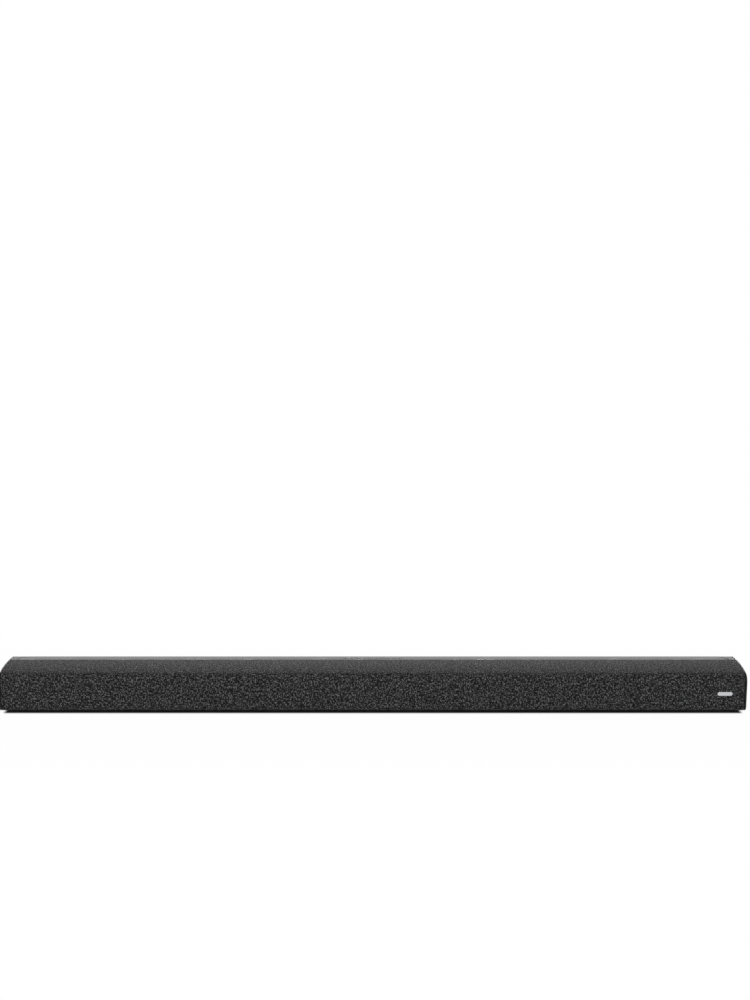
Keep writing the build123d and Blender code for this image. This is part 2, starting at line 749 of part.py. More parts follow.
def front_baffle():
    low, high = baffle_heights()
    half = SHELL_HALF - FIT
    plate = block((-half, half), BAFFLE_Y, (low, high))
    z = driver_height()
    bowl = SlotOverall(BOWL_LONG + 2 * (BOWL_WALL + FIT), BOWL_HIGH + 2 * (BOWL_WALL + FIT))
    cuts = []
    for side in SIDES.values():
        oval = across(side * WOOFER_X, BAFFLE_Y[0], z) * bowl
        cuts.append(extrude(oval, amount=BAFFLE))
        cuts.append(rod_y(side * TWEETER_X, z, TWEETER_HUB + FIT, BAFFLE_Y))
        for x, screw_z in woofer_screws(side * WOOFER_X) + tweeter_screws(side * TWEETER_X):
            cuts.append(rod_y(x, screw_z, SCREW_RADIUS + PILOT, BAFFLE_Y))
    cuts += [rod_y(x, screw_z, SCREW_RADIUS + PILOT, BAFFLE_Y) for x, screw_z in baffle_screws()]
    pipe_x = around(0, PIPE_LONG + 2 * TOUCH)
    pipe_z = around(INDICATOR_Z, PIPE_HIGH + 2 * TOUCH)
    return plate - cuts - block(pipe_x, BAFFLE_Y, pipe_z)


# Buttons

def button(x):
    rim_top, stem, _, _ = button_levels()
    rim_low = rim_top - BUTTON_RIM
    cap = RectangleRounded(BUTTON_LONG, BUTTON_WIDE, BUTTON_CORNER)
    body = extrude(Pos(x, BUTTON_Y, rim_low) * cap, amount=HEIGHT + BUTTON_PROUD - rim_low)
    top = section(-BUTTON_PROUD, REAR, SKIRT)
    body = body & along(top, around(x, BUTTON_LONG))
    rim = RectangleRounded(
        BUTTON_LONG + 2 * BUTTON_RIM, BUTTON_WIDE + 2 * BUTTON_RIM, BUTTON_CORNER + BUTTON_RIM
    )
    flange = extrude(Pos(x, BUTTON_Y, rim_low) * rim, amount=BUTTON_RIM)
    return body + flange + rod_z(x, BUTTON_Y, BUTTON_STEM_RADIUS, (stem, rim_low))


def plunger(x):
    _, stem, switch_top, _ = button_levels()
    return rod_z(x, BUTTON_Y, PLUNGER_RADIUS, (switch_top - PLUNGER_SUNK, stem))


def switch_bodies():
    _, _, top, low = button_levels()
    bodies = []
    for _, x in button_places():
        body = block(around(x, SWITCH), around(BUTTON_Y, SWITCH), (low, top))
        sunk = PLUNGER_SUNK + PLUNGER_ROOM
        bodies.append(body - rod_z(x, BUTTON_Y, PLUNGER_RADIUS + TOUCH, (top - sunk, top)))
    return bodies


def button_board():
    _, _, _, top = button_levels()
    left, right = strip_bosses()
    reach = 2 * STRIP_BOSS_RADIUS
    z = (top - BOARD, top)
    plate = block((left - reach, right + reach), around(BUTTON_Y, BUTTON_BOARD_WIDE), z)
    return plate - [rod_z(x, BUTTON_Y, SCREW_RADIUS + PILOT, z) for x in strip_bosses()]


# Front indicator

def pipe_spots():
    first = -(PIPE_SPOTS - 1) / 2 * PIPE_SPOT_PITCH
    return [first + i * PIPE_SPOT_PITCH for i in range(PIPE_SPOTS)]


def light_pipe():
    """Clear bar through the baffle with a round nose behind each hole in the frame."""
    bar_y = (BAFFLE_Y[0] - FLANGE, BAFFLE_Y[1])
    bar = block(around(0, PIPE_LONG), bar_y, around(INDICATOR_Z, PIPE_HIGH))
    nose_y = (FRONT + SEAT, BAFFLE_Y[0])
    noses = [rod_y(x, INDICATOR_Z, PIPE_SPOT_RADIUS, nose_y) for x in pipe_spots()]
    return bar + noses


def indicator_board():
    y = (BAFFLE_Y[1], BAFFLE_Y[1] + INDICATOR_BOARD)
    return block(around(0, INDICATOR_LONG), y, around(INDICATOR_Z, INDICATOR_HIGH))


# Woofers

def cone_size():
    """Length and height of the cone's rim, inside the surround's roll."""
    return BOWL_LONG - 4 * ROLL, BOWL_HIGH - 4 * ROLL


def spider_front():
    return BAFFLE_Y[0] + BOWL_DEPTH - SPIDER_SEAT - SPIDER_SKIN


def oval(x, y, long, high):
    return across(x, y, driver_height()) * SlotOverall(long, high)


def woofer_basket(x):
    y = BAFFLE_Y[0]
    z = driver_height()
    rear = y + BOWL_DEPTH
    flange = extrude(across(x, y - FLANGE, z) * RectangleRounded(FLANGE_LONG, FLANGE_HIGH, FLANGE_CORNER),
                     amount=FLANGE)
    grow = 2 * BOWL_WALL
    bowl = loft([oval(x, y, BOWL_LONG + grow, BOWL_HIGH + grow),
                 oval(x, rear, BOWL_REAR_LONG + grow, BOWL_HIGH + grow)])
    hollow = loft([oval(x, y, BOWL_LONG, BOWL_HIGH), oval(x, rear, BOWL_REAR_LONG, BOWL_HIGH)])
    plate = extrude(oval(x, rear, BOWL_REAR_LONG + grow, BOWL_HIGH + grow), amount=SEAT_PLATE)
    mouth = extrude(oval(x, y - FLANGE, BOWL_LONG, BOWL_HIGH), amount=FLANGE)
    seat_y = (rear - SPIDER_SEAT, rear)
    seat = rod_y(x, z, SPIDER_RADIUS, seat_y) - rod_y(x, z, SPIDER_RADIUS - SPIDER_SEAT, seat_y)
    bore = rod_y(x, z, SPIDER_RADIUS - SPIDER_SEAT, (rear, rear + SEAT_PLATE))
    holes = [rod_y(sx, sz, SCREW_RADIUS + PILOT, (y - FLANGE, y)) for sx, sz in woofer_screws(x)]
    return flange + bowl + plate - hollow - mouth - bore - holes + seat


def woofer_stack():
    """Depths of the top plate, the magnet and the yoke's disc, from the front."""
    start = BAFFLE_Y[0] + BOWL_DEPTH + SEAT_PLATE
    plate = (start, start + TOP_PLATE)
    magnet = (plate[1], plate[1] + MAGNET)
    yoke = (magnet[1], magnet[1] + YOKE)
    return plate, magnet, yoke


def woofer_yoke(x):
    """Top plate and yoke with its pole, two steel pieces either side of the magnet."""
    z = driver_height()
    plate_y, _, yoke_y = woofer_stack()
    bore = COIL_RADIUS + COIL_SKIN + COIL_GAP
    plate = rod_y(x, z, MOTOR_RADIUS, plate_y) - rod_y(x, z, bore, plate_y)
    yoke = rod_y(x, z, MOTOR_RADIUS, yoke_y) + rod_y(x, z, POLE_RADIUS, (plate_y[0], yoke_y[0]))
    return [plate, yoke]


def woofer_magnet(x):
    z = driver_height()
    _, y, _ = woofer_stack()
    return rod_y(x, z, MOTOR_RADIUS, y) - rod_y(x, z, MAGNET_BORE, y)


def woofer_cone(x):
    """One-piece oval cone with a closed middle."""
    long, high = cone_size()
    front = BAFFLE_Y[0] - FLANGE + TOUCH
    rear = front + CONE_DEPTH
    skin = 2 * CONE_SKIN
    outer = loft([oval(x, front, long, high), oval(x, rear, CONE_NECK_LONG, CONE_NECK_HIGH)])
    inner = loft([oval(x, front, long - skin, high - skin),
                  oval(x, rear - CONE_SKIN, CONE_NECK_LONG - skin, CONE_NECK_HIGH - skin)])
    return outer - inner


def voice_coil(x):
    z = driver_height()
    start = BAFFLE_Y[0] - FLANGE + TOUCH + CONE_DEPTH
    y = (start, start + COIL_LONG)
    return rod_y(x, z, COIL_RADIUS + COIL_SKIN, y) - rod_y(x, z, COIL_RADIUS, y)


def surround(x):
    """Half roll between the cone's rim and the flange."""
    y = BAFFLE_Y[0] - FLANGE
    long, high = BOWL_LONG - 2 * ROLL, BOWL_HIGH - 2 * ROLL
    path = oval(x, y, long + ROLL_SKIN, high + ROLL_SKIN).wire()
    start = path.position_at(0)
    along_path = path.tangent_at(0)
    plane = Plane(origin=start, x_dir=along_path.cross(Vector(0, 1, 0)), z_dir=along_path)
    forward = plane.to_local_coords(start + Vector(0, -1, 0)).Y
    ring = Circle(ROLL) - Circle(ROLL - ROLL_SKIN)
    half = ring & Pos(0, forward * ROLL) * Rectangle(2 * ROLL, 2 * ROLL)
    return sweep(plane * half, path)


def spider(x):
    """Rippled disc from the coil to its seat in the basket."""
    z = driver_height()
    front = spider_front()
    inner = COIL_RADIUS + COIL_SKIN + TOUCH
    span = SPIDER_RADIUS - inner
    steps = 4
    wave = [(inner + span * i / steps, (i % 2) * SPIDER_WAVE) for i in range(steps + 1)]
    near = [(r, -depth) for r, depth in wave]
    far = [(r, SPIDER_SKIN - depth - TOUCH) for r, depth in reversed(wave)]
    face = make_face(Polyline(*near, *far, close=True))
    plane = Plane(origin=(x, front, z), x_dir=(1, 0, 0), z_dir=(0, 0, 1))
    return revolve(plane * face, Axis((x, front, z), (0, 1, 0)))


# Tweeters

def tweeter_frame(x):
    z = driver_height()
    y = BAFFLE_Y[0]
    flange_y = (y - TWEETER_FLANGE_THICK, y)
    hub_y = (y, y + TWEETER_HUB_LONG)
    body = rod_y(x, z, TWEETER_FLANGE, flange_y) + rod_y(x, z, TWEETER_HUB, hub_y)
    bore = rod_y(x, z, TWEETER_BORE, (flange_y[0], hub_y[1]))
    holes = [rod_y(sx, sz, SCREW_RADIUS + PILOT, flange_y) for sx, sz in tweeter_screws(x)]
    return body - bore - holes


def tweeter_motor(x):
    """Steel cup with its magnet, grooved for the dome's coil."""
    z = driver_height()
    front = BAFFLE_Y[0] + TWEETER_HUB_LONG
    cup = rod_y(x, z, TWEETER_HUB, (front, front + TWEETER_CUP_LONG))
    pole_radius = DOME_RADIUS - DOME_SKIN - COIL_GAP
    groove_y = (front, front + DOME_COIL_LONG)
    groove = rod_y(x, z, DOME_RADIUS + COIL_GAP, groove_y) - rod_y(x, z, pole_radius, groove_y)
    return cup - groove


def dome_arc(radius, base):
    """Half of a dome's round line, from the axis out to its rim at base."""
    ball = (radius ** 2 + DOME_RISE ** 2) / (2 * DOME_RISE)
    middle = radius / 2
    rise = sqrt(ball ** 2 - middle ** 2) - ball + DOME_RISE
    return ThreePointArc((0, base - DOME_RISE), (middle, base - rise), (radius, base))


def tweeter_dome(x):
    """Soft dome with its coil and the narrow edge that it hangs by."""
    z = driver_height()
    base = BAFFLE_Y[0]
    coil_end = base + TWEETER_HUB_LONG + DOME_COIL_LONG / 2
    edge = TWEETER_BORE - TOUCH
    skin = DOME_SKIN
    inner = DOME_RADIUS - skin
    depth = coil_end - base
    outline = Curve() + [
        Line((0, skin - DOME_RISE), (0, -DOME_RISE)),
        dome_arc(DOME_RADIUS, 0),
        Polyline((DOME_RADIUS, 0), (edge, 0), (edge, skin), (DOME_RADIUS, skin)),
        Polyline((DOME_RADIUS, skin), (DOME_RADIUS, depth), (inner, depth), (inner, skin)),
        dome_arc(inner, skin),
    ]
    plane = Plane(origin=(x, base, z), x_dir=(1, 0, 0), z_dir=(0, 0, 1))
    return revolve(plane * make_face(outline), Axis((x, base, z), (0, 1, 0)))


# Rear tray and sockets

def socket_z(size):
    return (BOARD_Z[1], BOARD_Z[1] + size[2])


def socket_middle(size):
    return sum(socket_z(size)) / 2


def socket_places():
    return (
        (INLET_X, INLET_SIZE),
        (USB_X, USB_SIZE),
        (HDMI_X, HDMI_SIZE),
        (OPTICAL_X, OPTICAL_SIZE),
        (AUX_X, AUX_SIZE),
    )


def input_panel():
    y = (PLATE_Y[0], REAR_WALL)
    low = (TRAY_LEFT - TRAY_WALL, TRAY_RIGHT + TRAY_WALL)
    tray = block(low, y, (TRAY_LOW - TRAY_WALL, TRAY_HIGH + TRAY_WALL))
    bosses = [rod_y(x, z, TRAY_BOSS, (y[1] - TRAY_BOSS_LONG, y[1])) for x, z in tray_screws()]
    tray = tray + bosses - tray_mouth((PLATE_Y[1], REAR))
    windows = [
        block(around(x, size[0] + 2 * TOUCH), PLATE_Y, around(socket_middle(size), size[2] + 2 * TOUCH))
        for x, size in socket_places()
    ]
    pilots = [
        rod_y(x, z, SCREW_RADIUS + PILOT, (y[1] - TRAY_BOSS_LONG, y[1])) for x, z in tray_screws()
    ]
    return tray - windows - pilots


def socket_body(x, size):
    return block(around(x, size[0]), (SOCKET_FACE - size[1], SOCKET_FACE), socket_z(size))


def socket_cavity(x, z, mouth, depth):
    return block(around(x, mouth[0]), (SOCKET_FACE - depth, SOCKET_FACE), around(z, mouth[1]))


def mains_inlet():
    z = socket_middle(INLET_SIZE)
    cavity_y = (SOCKET_FACE - INLET_CAVITY, SOCKET_FACE)
    pin_y = (cavity_y[0], cavity_y[1] - SOCKET_CAVITY / 3)
    lobes = [rod_y(INLET_X + i * INLET_LOBE, z, INLET_LOBE, cavity_y) for i in (-1, 1)]
    waist = block(around(INLET_X, 2 * INLET_LOBE), cavity_y, around(z, INLET_WAIST))
    pins = [rod_y(INLET_X + i * INLET_LOBE, z, INLET_PIN_RADIUS, pin_y) for i in (-1, 1)]
    return socket_body(INLET_X, INLET_SIZE) - lobes - waist + pins


def usb_socket():
    z = socket_middle(USB_SIZE)
    body = socket_body(USB_X, USB_SIZE) - socket_cavity(USB_X, z, USB_MOUTH, SOCKET_CAVITY)
    tongue_z = z + USB_MOUTH[1] / 4
    return body + socket_cavity(USB_X, tongue_z, (USB_MOUTH[0] - USB_TONGUE, USB_TONGUE), SOCKET_CAVITY)


def hdmi_socket():
    z = socket_middle(HDMI_SIZE)
    body = socket_body(HDMI_X, HDMI_SIZE) - socket_cavity(HDMI_X, z, HDMI_MOUTH, SOCKET_CAVITY)
    tongue = (HDMI_MOUTH[0] - 4 * HDMI_TONGUE, HDMI_TONGUE)
    return body + socket_cavity(HDMI_X, z, tongue, SOCKET_CAVITY)


def optical_socket():
    z = socket_middle(OPTICAL_SIZE)
    mouth = (OPTICAL_MOUTH, OPTICAL_MOUTH)
    return socket_body(OPTICAL_X, OPTICAL_SIZE) - socket_cavity(OPTICAL_X, z, mouth, SOCKET_CAVITY)


def aux_jack():
    z = socket_middle(AUX_SIZE)
    bore = rod_y(AUX_X, z, AUX_BORE, (SOCKET_FACE - AUX_LONG, SOCKET_FACE))
    return socket_body(AUX_X, AUX_SIZE) - bore


# Boards

def board(x):
    plate = block(x, BOARD_Y, BOARD_Z)
    return plate - [rod_z(sx, sy, SCREW_RADIUS + PILOT, BOARD_Z) for sx, sy in board_screws(x)]


def on_board(x, y, size):
    """Block standing on a board."""
    top = BOARD_Z[1]
    return block(around(x, size[0]), around(y, size[1]), (top, top + size[2]))


def sink_place():
    x = MAIN_BOARD_X[1] - SINK_LONG / 2 - 4 * BOARD_SCREW_EDGE
    return x, BOARD_Y[0] + SINK_WIDE / 2 + BOARD_MARGIN


def heat_sink():
    x, y = sink_place()
    low = BOARD_Z[1] + CHIP_HIGH
    base = block(around(x, SINK_LONG), around(y, SINK_WIDE), (low, low + 2 * SINK_FIN))
    pitch = (SINK_LONG - SINK_FIN) / (SINK_FINS - 1)
    first = x - SINK_LONG / 2 + SINK_FIN / 2
    z = (low, low + SINK_HIGH)
    fins = [block(around(first + i * pitch, SINK_FIN), around(y, SINK_WIDE), z) for i in range(SINK_FINS)]
    return base + fins


def lead_runs():
    """Each speaker lead: its plug on the main board, its depth in the bar and where it ends."""
    woofer_y = FRONT + WOOFER_LEAD_SETBACK
    tweeter_y = FRONT + TWEETER_LEAD_SETBACK
    woofer_rear = woofer_stack()[2][1]
    tweeter_rear = BAFFLE_Y[0] + TWEETER_HUB_LONG + TWEETER_CUP_LONG
    start = sum(MAIN_BOARD_X) / 2
    gap = 4 * LEAD_RADIUS
    return [
        (start + side * (gap if y == woofer_y else 3 * gap), y, side * x, rear)
        for side in SIDES.values()
        for x, y, rear in ((WOOFER_X, woofer_y, woofer_rear), (TWEETER_X, tweeter_y, tweeter_rear))
    ]


def supply_ends():
    """Where the lead between the two boards stands on them."""
    y = BOARD_Y[0] + 2 * BOARD_SCREW_EDGE
    return ((POWER_BOARD_X[1] - 3 * LEAD_BEND, y), (MAIN_BOARD_X[0] + 3 * LEAD_BEND, y))


def ribbon_foot():
    return BUTTON_Y - BUTTON_BOARD_WIDE / 2 - RIBBON_DROP


def board_chips():
    """Chips, and the plugs that the leads and the ribbon go into."""
    sink_x, sink_y = sink_place()
    middle = sum(BOARD_Y) / 2
    processor_x = MAIN_BOARD_X[0] + PROCESSOR_END
    memory_x = processor_x + PROCESSOR / 2 + CHIP_GAP + MEMORY_SIZE[0] / 2
    chip_y = middle - CHIP_FORWARD
    plug = (4 * LEAD_RADIUS - FIT, 4 * LEAD_RADIUS - FIT, PLUG_HIGH)
    chips = [
        on_board(sink_x, sink_y, (SINK_WIDE, SINK_WIDE - 2 * CHIP_HIGH, CHIP_HIGH)),
        on_board(processor_x, chip_y, (PROCESSOR, PROCESSOR, CHIP_HIGH)),
        on_board(memory_x, chip_y, (*MEMORY_SIZE, CHIP_HIGH)),
        on_board(USB_X, middle - CHIP_FORWARD / 2, (BUS_CHIP, BUS_CHIP, CHIP_HIGH)),
        on_board(0, ribbon_foot(), (RIBBON_WIDE + 2 * FIT, 4 * RIBBON_THICK, PLUG_HIGH)),
    ]
    chips += [on_board(x, y, plug) for x, y, _, _ in lead_runs()]
    chips += [on_board(x, y, plug) for x, y in supply_ends()]
    return chips


def capacitors():
    """Round capacitors: the mains one and its small ones, and those of the amplifier."""
    top = BOARD_Z[1]
    left = POWER_BOARD_X[0]
    front = BOARD_Y[0]
    sink_x, _ = sink_place()
    tall_z = (top, top + MAINS_CAN_HIGH)
    tall = rod_z(left + MAINS_CAN_END, front + MAINS_CAN_FRONT, MAINS_CAN_RADIUS, tall_z)
    low = []
    amp = []
    for i in range(SMALL_CANS):
        low_x = left + SMALL_CAN_END + i * SMALL_CAN_PITCH
        amp_x = sink_x + (i - 1) * SMALL_CAN_PITCH
        low_z = (top, top + SMALL_CAN_HIGH)
        amp_z = (top, top + AMP_CAN_HIGH)
        low.append(rod_z(low_x, front + SMALL_CAN_FRONT, SMALL_CAN_RADIUS, low_z))
        amp.append(rod_z(amp_x, front + AMP_CAN_FRONT, SMALL_CAN_RADIUS, amp_z))
    return [tall, *low, *amp]


def transformer():
    """Wound core on the power board."""
    x = (POWER_BOARD_X[0] + POWER_BOARD_X[1]) / 2
    y = BOARD_Y[0] + TRANSFORMER_SIZE[1] / 2 + 2 * BOARD_MARGIN
    long, wide, high = TRANSFORMER_SIZE
    core = on_board(x, y, TRANSFORMER_SIZE)
    top = BOARD_Z[1]
    waist = (top + high * CORE_FLANGE, top + high * (1 - CORE_FLANGE))
    sides = [
        block(around(x, long * WINDING_LONG), around(y + i * wide / 2, wide * WINDING_DEEP), waist)
        for i in (-1, 1)
    ]
    return core - sides


def wireless_module():
    x = MAIN_BOARD_X[1] - WIRELESS_SIZE[0] / 2 - 2 * BOARD_SCREW_EDGE
    y = BOARD_Y[1] - WIRELESS_SIZE[1] / 2 - BOARD_MARGIN
    return on_board(x, y, WIRELESS_SIZE)


# Wiring

def tube(points, bend):
    path = FilletPolyline(*points, radius=bend)
    start = Plane(origin=path @ 0, z_dir=path % 0)
    return sweep(start * Circle(LEAD_RADIUS), path)


def wiring():
    """Speaker leads under the roof of the cabinet, and the lead between the two boards."""
    plug_top = BOARD_Z[1] + PLUG_HIGH
    z = driver_height()
    leads = []
    for start, y, x, rear in lead_runs():
        points = [(start, y, plug_top), (start, y, LEAD_Z), (x, y, LEAD_Z), (x, y, z), (x, rear, z)]
        leads.append(tube(points, LEAD_BEND))
    (x0, y, *_), (x1, *_) = supply_ends()
    arch = plug_top + 2 * LEAD_BEND
    leads.append(tube([(x0, y, plug_top), (x0, y, arch), (x1, y, arch), (x1, y, plug_top)], LEAD_BEND))
    return leads


def button_ribbon():
    """Flat cable from under the button board down to the main board."""
    _, _, _, board_top = button_levels()
    top = board_top - BOARD - RIBBON_THICK / 2
    foot_y = ribbon_foot()
    start = (0, BUTTON_Y, top)
    path = FilletPolyline(start, (0, foot_y, top), (0, foot_y, BOARD_Z[1] + PLUG_HIGH), radius=RIBBON_BEND)
    plane = Plane(origin=start, x_dir=(1, 0, 0), z_dir=path % 0)
    return sweep(plane * Rectangle(RIBBON_WIDE, RIBBON_THICK), path)


# Screws

def screw(place, turn):
    """Pan-head screw with its head's seat at place, driven along turn's +Z."""
    head = Cylinder(SCREW_HEAD_RADIUS, SCREW_HEAD, align=BOTTOM)
    head = fillet(head.edges().sort_by(Axis.Z)[-1], SCREW_HEAD / 3)
    slots = [Box(SCREW_CROSS, SCREW_SLOT, 2 * SCREW_CUT), Box(SCREW_SLOT, SCREW_CROSS, 2 * SCREW_CUT)]
    head = head - [Pos(0, 0, SCREW_HEAD) * slot for slot in slots]
    shank = Pos(0, 0, -SCREW_LONG) * Cylinder(SCREW_RADIUS, SCREW_LONG, align=BOTTOM)
    return Pos(*place) * turn * (head + shank)


def driver_screws():
    facing_front = Rot(90, 0, 0)
    screws = []
    for side in SIDES.values():
        y = BAFFLE_Y[0] - FLANGE
        screws += [screw((x, y, z), facing_front) for x, z in woofer_screws(side * WOOFER_X)]
        y = BAFFLE_Y[0] - TWEETER_FLANGE_THICK
        screws += [screw((x, y, z), facing_front) for x, z in tweeter_screws(side * TWEETER_X)]
    return screws


def case_screws():
    facing_front = Rot(90, 0, 0)
    facing_rear = Rot(-90, 0, 0)
    facing_down = Rot(180, 0, 0)
    _, _, _, strip_board = button_levels()
    places = board_screws(MAIN_BOARD_X) + board_screws(POWER_BOARD_X)
    screws = [screw((x, BAFFLE_Y[0], z), facing_front) for x, z in baffle_screws()]
    low, high = rear_rows()
    rear_places = tray_screws() + low + high
    screws += [screw((x, REAR - SCREW_HEAD, z), facing_rear) for x, z in rear_places]
    screws += [screw((x, y, BOARD_Z[1]), Rot(0, 0, 0)) for x, y in places]
    screws += [screw((x, BUTTON_Y, strip_board - BOARD), facing_down) for x in strip_bosses()]
    return screws


def nodes():
    """Every piece by name; a list is a group of separate solids of one kind."""
    pieces = {
        "housing_roof": housing_roof(),
        "end_walls": [end_wall(side) for side in SIDES.values()],
        "keyhole_plates": [keyhole_plate(side) for side in SIDES.values()],
        "base_plate": base_plate(),
        "rear_panels": rear_panels(),
        "chamber_walls": chamber_walls(),
        "front_baffle": front_baffle(),
        "grille_frame": grille_frame(),
        "grille_cloth": grille_cloth(),
        "top_panel": top_panel(),
        "front_badge": front_badge(),
        "rubber_feet": rubber_feet(),
        "input_panel": input_panel(),
        "switch_bodies": switch_bodies(),
        "button_board": button_board(),
        "indicator_board": indicator_board(),
        "light_pipe": light_pipe(),
        "main_board": board(MAIN_BOARD_X),
        "power_board": board(POWER_BOARD_X),
        "heat_sink": heat_sink(),
        "board_chips": board_chips(),
        "capacitors": capacitors(),
        "transformer": transformer(),
        "wireless_module": wireless_module(),
        "mains_inlet": mains_inlet(),
        "usb_socket": usb_socket(),
        "hdmi_socket": hdmi_socket(),
        "optical_socket": optical_socket(),
        "aux_jack": aux_jack(),
        "wiring": wiring(),
        "button_ribbon": button_ribbon(),
        "driver_screws": driver_screws(),
        "case_screws": case_screws(),
    }
    woofers = [side * WOOFER_X for side in SIDES.values()]
    tweeters = [side * TWEETER_X for side in SIDES.values()]
    pieces["woofer_baskets"] = [woofer_basket(x) for x in woofers]
    pieces["woofer_yokes"] = [steel for x in woofers for steel in woofer_yoke(x)]
    pieces["woofer_magnets"] = [woofer_magnet(x) for x in woofers]
    pieces["tweeter_frames"] = [tweeter_frame(x) for x in tweeters]
    pieces["tweeter_motors"] = [tweeter_motor(x) for x in tweeters]
    for name, x in button_places():
        pieces[name + "_button"] = button(x)
        pieces[name + "_plunger"] = plunger(x)
    for name, side in SIDES.items():
        woofer = side * WOOFER_X
        pieces["end_cap_" + name] = end_cap(side)
        pieces["woofer_cone_" + name] = woofer_cone(woofer)
        pieces["voice_coil_" + name] = voice_coil(woofer)
        pieces["surround_" + name] = surround(woofer)
        pieces["spider_" + name] = spider(woofer)
        pieces["tweeter_dome_" + name] = tweeter_dome(side * TWEETER_X)
    return pieces


def write():
    os.makedirs("parts", exist_ok=True)
    for name, piece in nodes().items():
        shape = Compound(children=[*piece]) if isinstance(piece, list) else piece
        export_step(shape, f"parts/{name}.step")


if __name__ == "__main__":
    write()
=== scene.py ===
import json
from math import asin, cos, pi, radians, sin, sqrt

import bmesh
import bpy
from mathutils import Matrix, Vector


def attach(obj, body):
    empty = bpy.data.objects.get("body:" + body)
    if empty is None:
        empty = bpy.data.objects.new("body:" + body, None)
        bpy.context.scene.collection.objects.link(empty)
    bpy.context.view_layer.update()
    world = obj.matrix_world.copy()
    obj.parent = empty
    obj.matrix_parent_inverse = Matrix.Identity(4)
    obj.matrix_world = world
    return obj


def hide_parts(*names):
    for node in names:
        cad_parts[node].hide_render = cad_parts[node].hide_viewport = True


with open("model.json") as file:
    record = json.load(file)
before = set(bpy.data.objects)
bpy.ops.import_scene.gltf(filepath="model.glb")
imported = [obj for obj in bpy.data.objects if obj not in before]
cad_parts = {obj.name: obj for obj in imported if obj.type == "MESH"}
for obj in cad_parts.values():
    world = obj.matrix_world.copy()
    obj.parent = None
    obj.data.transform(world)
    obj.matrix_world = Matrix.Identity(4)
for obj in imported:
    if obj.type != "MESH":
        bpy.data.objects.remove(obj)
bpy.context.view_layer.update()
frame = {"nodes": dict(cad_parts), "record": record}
nodes = frame["nodes"]
print("frame loaded:", len(nodes), "nodes")


# Shader maths

class Wire:
    def __init__(self, board, socket):
        self.board = board
        self.socket = socket

    def maths(self, operation, *values):
        return self.board.node("ShaderNodeMath", {"operation": operation}, dict(enumerate(values)))

    def __add__(self, other):
        return self.maths("ADD", self, other)

    def __radd__(self, other):
        return self.maths("ADD", other, self)

    def __sub__(self, other):
        return self.maths("SUBTRACT", self, other)

    def __rsub__(self, other):
        return self.maths("SUBTRACT", other, self)

    def __mul__(self, other):
        return self.maths("MULTIPLY", self, other)

    def __rmul__(self, other):
        return self.maths("MULTIPLY", other, self)

    def __truediv__(self, other):
        return self.maths("DIVIDE", self, other)

    def __pow__(self, other):
        return self.maths("POWER", self, other)

    def __mod__(self, other):
        return self.maths("FLOORED_MODULO", self, other)

    def __abs__(self):
        return self.maths("ABSOLUTE", self)

    def above(self, least):
        return self.maths("MAXIMUM", self, least)

    def floor(self):
        return self.maths("FLOOR", self)

    def sine(self):
        return self.maths("SINE", self)


class Board:
    def __init__(self, owner):
        owner.use_nodes = True
        self.owner = owner  # a material or the world
        self.tree = owner.node_tree
        self.tree.nodes.clear()

    def plug(self, socket, value):
        if isinstance(value, Wire):
            self.tree.links.new(value.socket, socket)
        else:
            socket.default_value = value

    def node(self, kind, settings=None, sockets=None, output=0):
        made = self.tree.nodes.new(kind)
        for key, value in (settings or {}).items():
            if key == "stops":
                ramp = made.color_ramp.elements
                while len(ramp) < len(value):
                    ramp.new(0.5)
                for stop, (place, tone) in zip(ramp, value):
                    stop.position = place
                    stop.color = (*tone, 1)
            else:
                setattr(made, key, value)
        for key, value in (sockets or {}).items():
            self.plug(made.inputs[key], value)
        return Wire(self, made.outputs[output]) if made.outputs else None

    def place(self):
        return self.node("ShaderNodeTexCoord", output="Object")

    def split(self, vector):
        axes = self.node("ShaderNodeSeparateXYZ", None, {0: vector}).socket.node.outputs
        return [Wire(self, axis) for axis in axes]

    def join(self, x, y, z):
        return self.node("ShaderNodeCombineXYZ", None, {0: x, 1: y, 2: z})

    def stretch(self, vector, scale):
        return self.node("ShaderNodeMapping", None, {"Vector": vector, "Scale": scale})

    def noise(self, vector, scale, detail=2.0, rough=0.5):
        sockets = {"Vector": vector, "Scale": scale, "Detail": detail, "Roughness": rough}
        return self.node("ShaderNodeTexNoise", None, sockets)

    def ease(self, value, low, high, to=(0.0, 1.0)):
        sockets = {"Value": value, "From Min": low, "From Max": high, "To Min": to[0], "To Max": to[1]}
        return self.node("ShaderNodeMapRange", {"interpolation_type": "SMOOTHSTEP"}, sockets)

    def mix(self, factor, first, second):
        sockets = {"Factor": factor, 6: first, 7: second}
        return self.node("ShaderNodeMix", {"data_type": "RGBA"}, sockets, output=2)

    def bump(self, height, strength, distance):
        sockets = {"Height": height, "Strength": strength, "Distance": distance}
        return self.node("ShaderNodeBump", None, sockets)

    # 1 where the background is looked at, mirrored or seen through something
    def looked(self):
        rays = self.node("ShaderNodeLightPath").socket.node.outputs
        kinds = ("Is Camera Ray", "Is Glossy Ray", "Is Transmission Ray")
        camera, glossy, through = [Wire(self, rays[kind]) for kind in kinds]
        return camera + glossy + through

    def finish(self, sockets):
        skin = self.node("ShaderNodeBsdfPrincipled", None, sockets)
        self.node("ShaderNodeOutputMaterial", None, {"Surface": skin})
        return self.owner


def newFinish(name):
    return Board(bpy.data.materials.new(name))


def grey(value):
    return (value, value, value, 1)


def shade(board, factor, tone, dark, light):
    return board.mix(factor, grey(tone * dark), grey(tone * light))


# Finishes

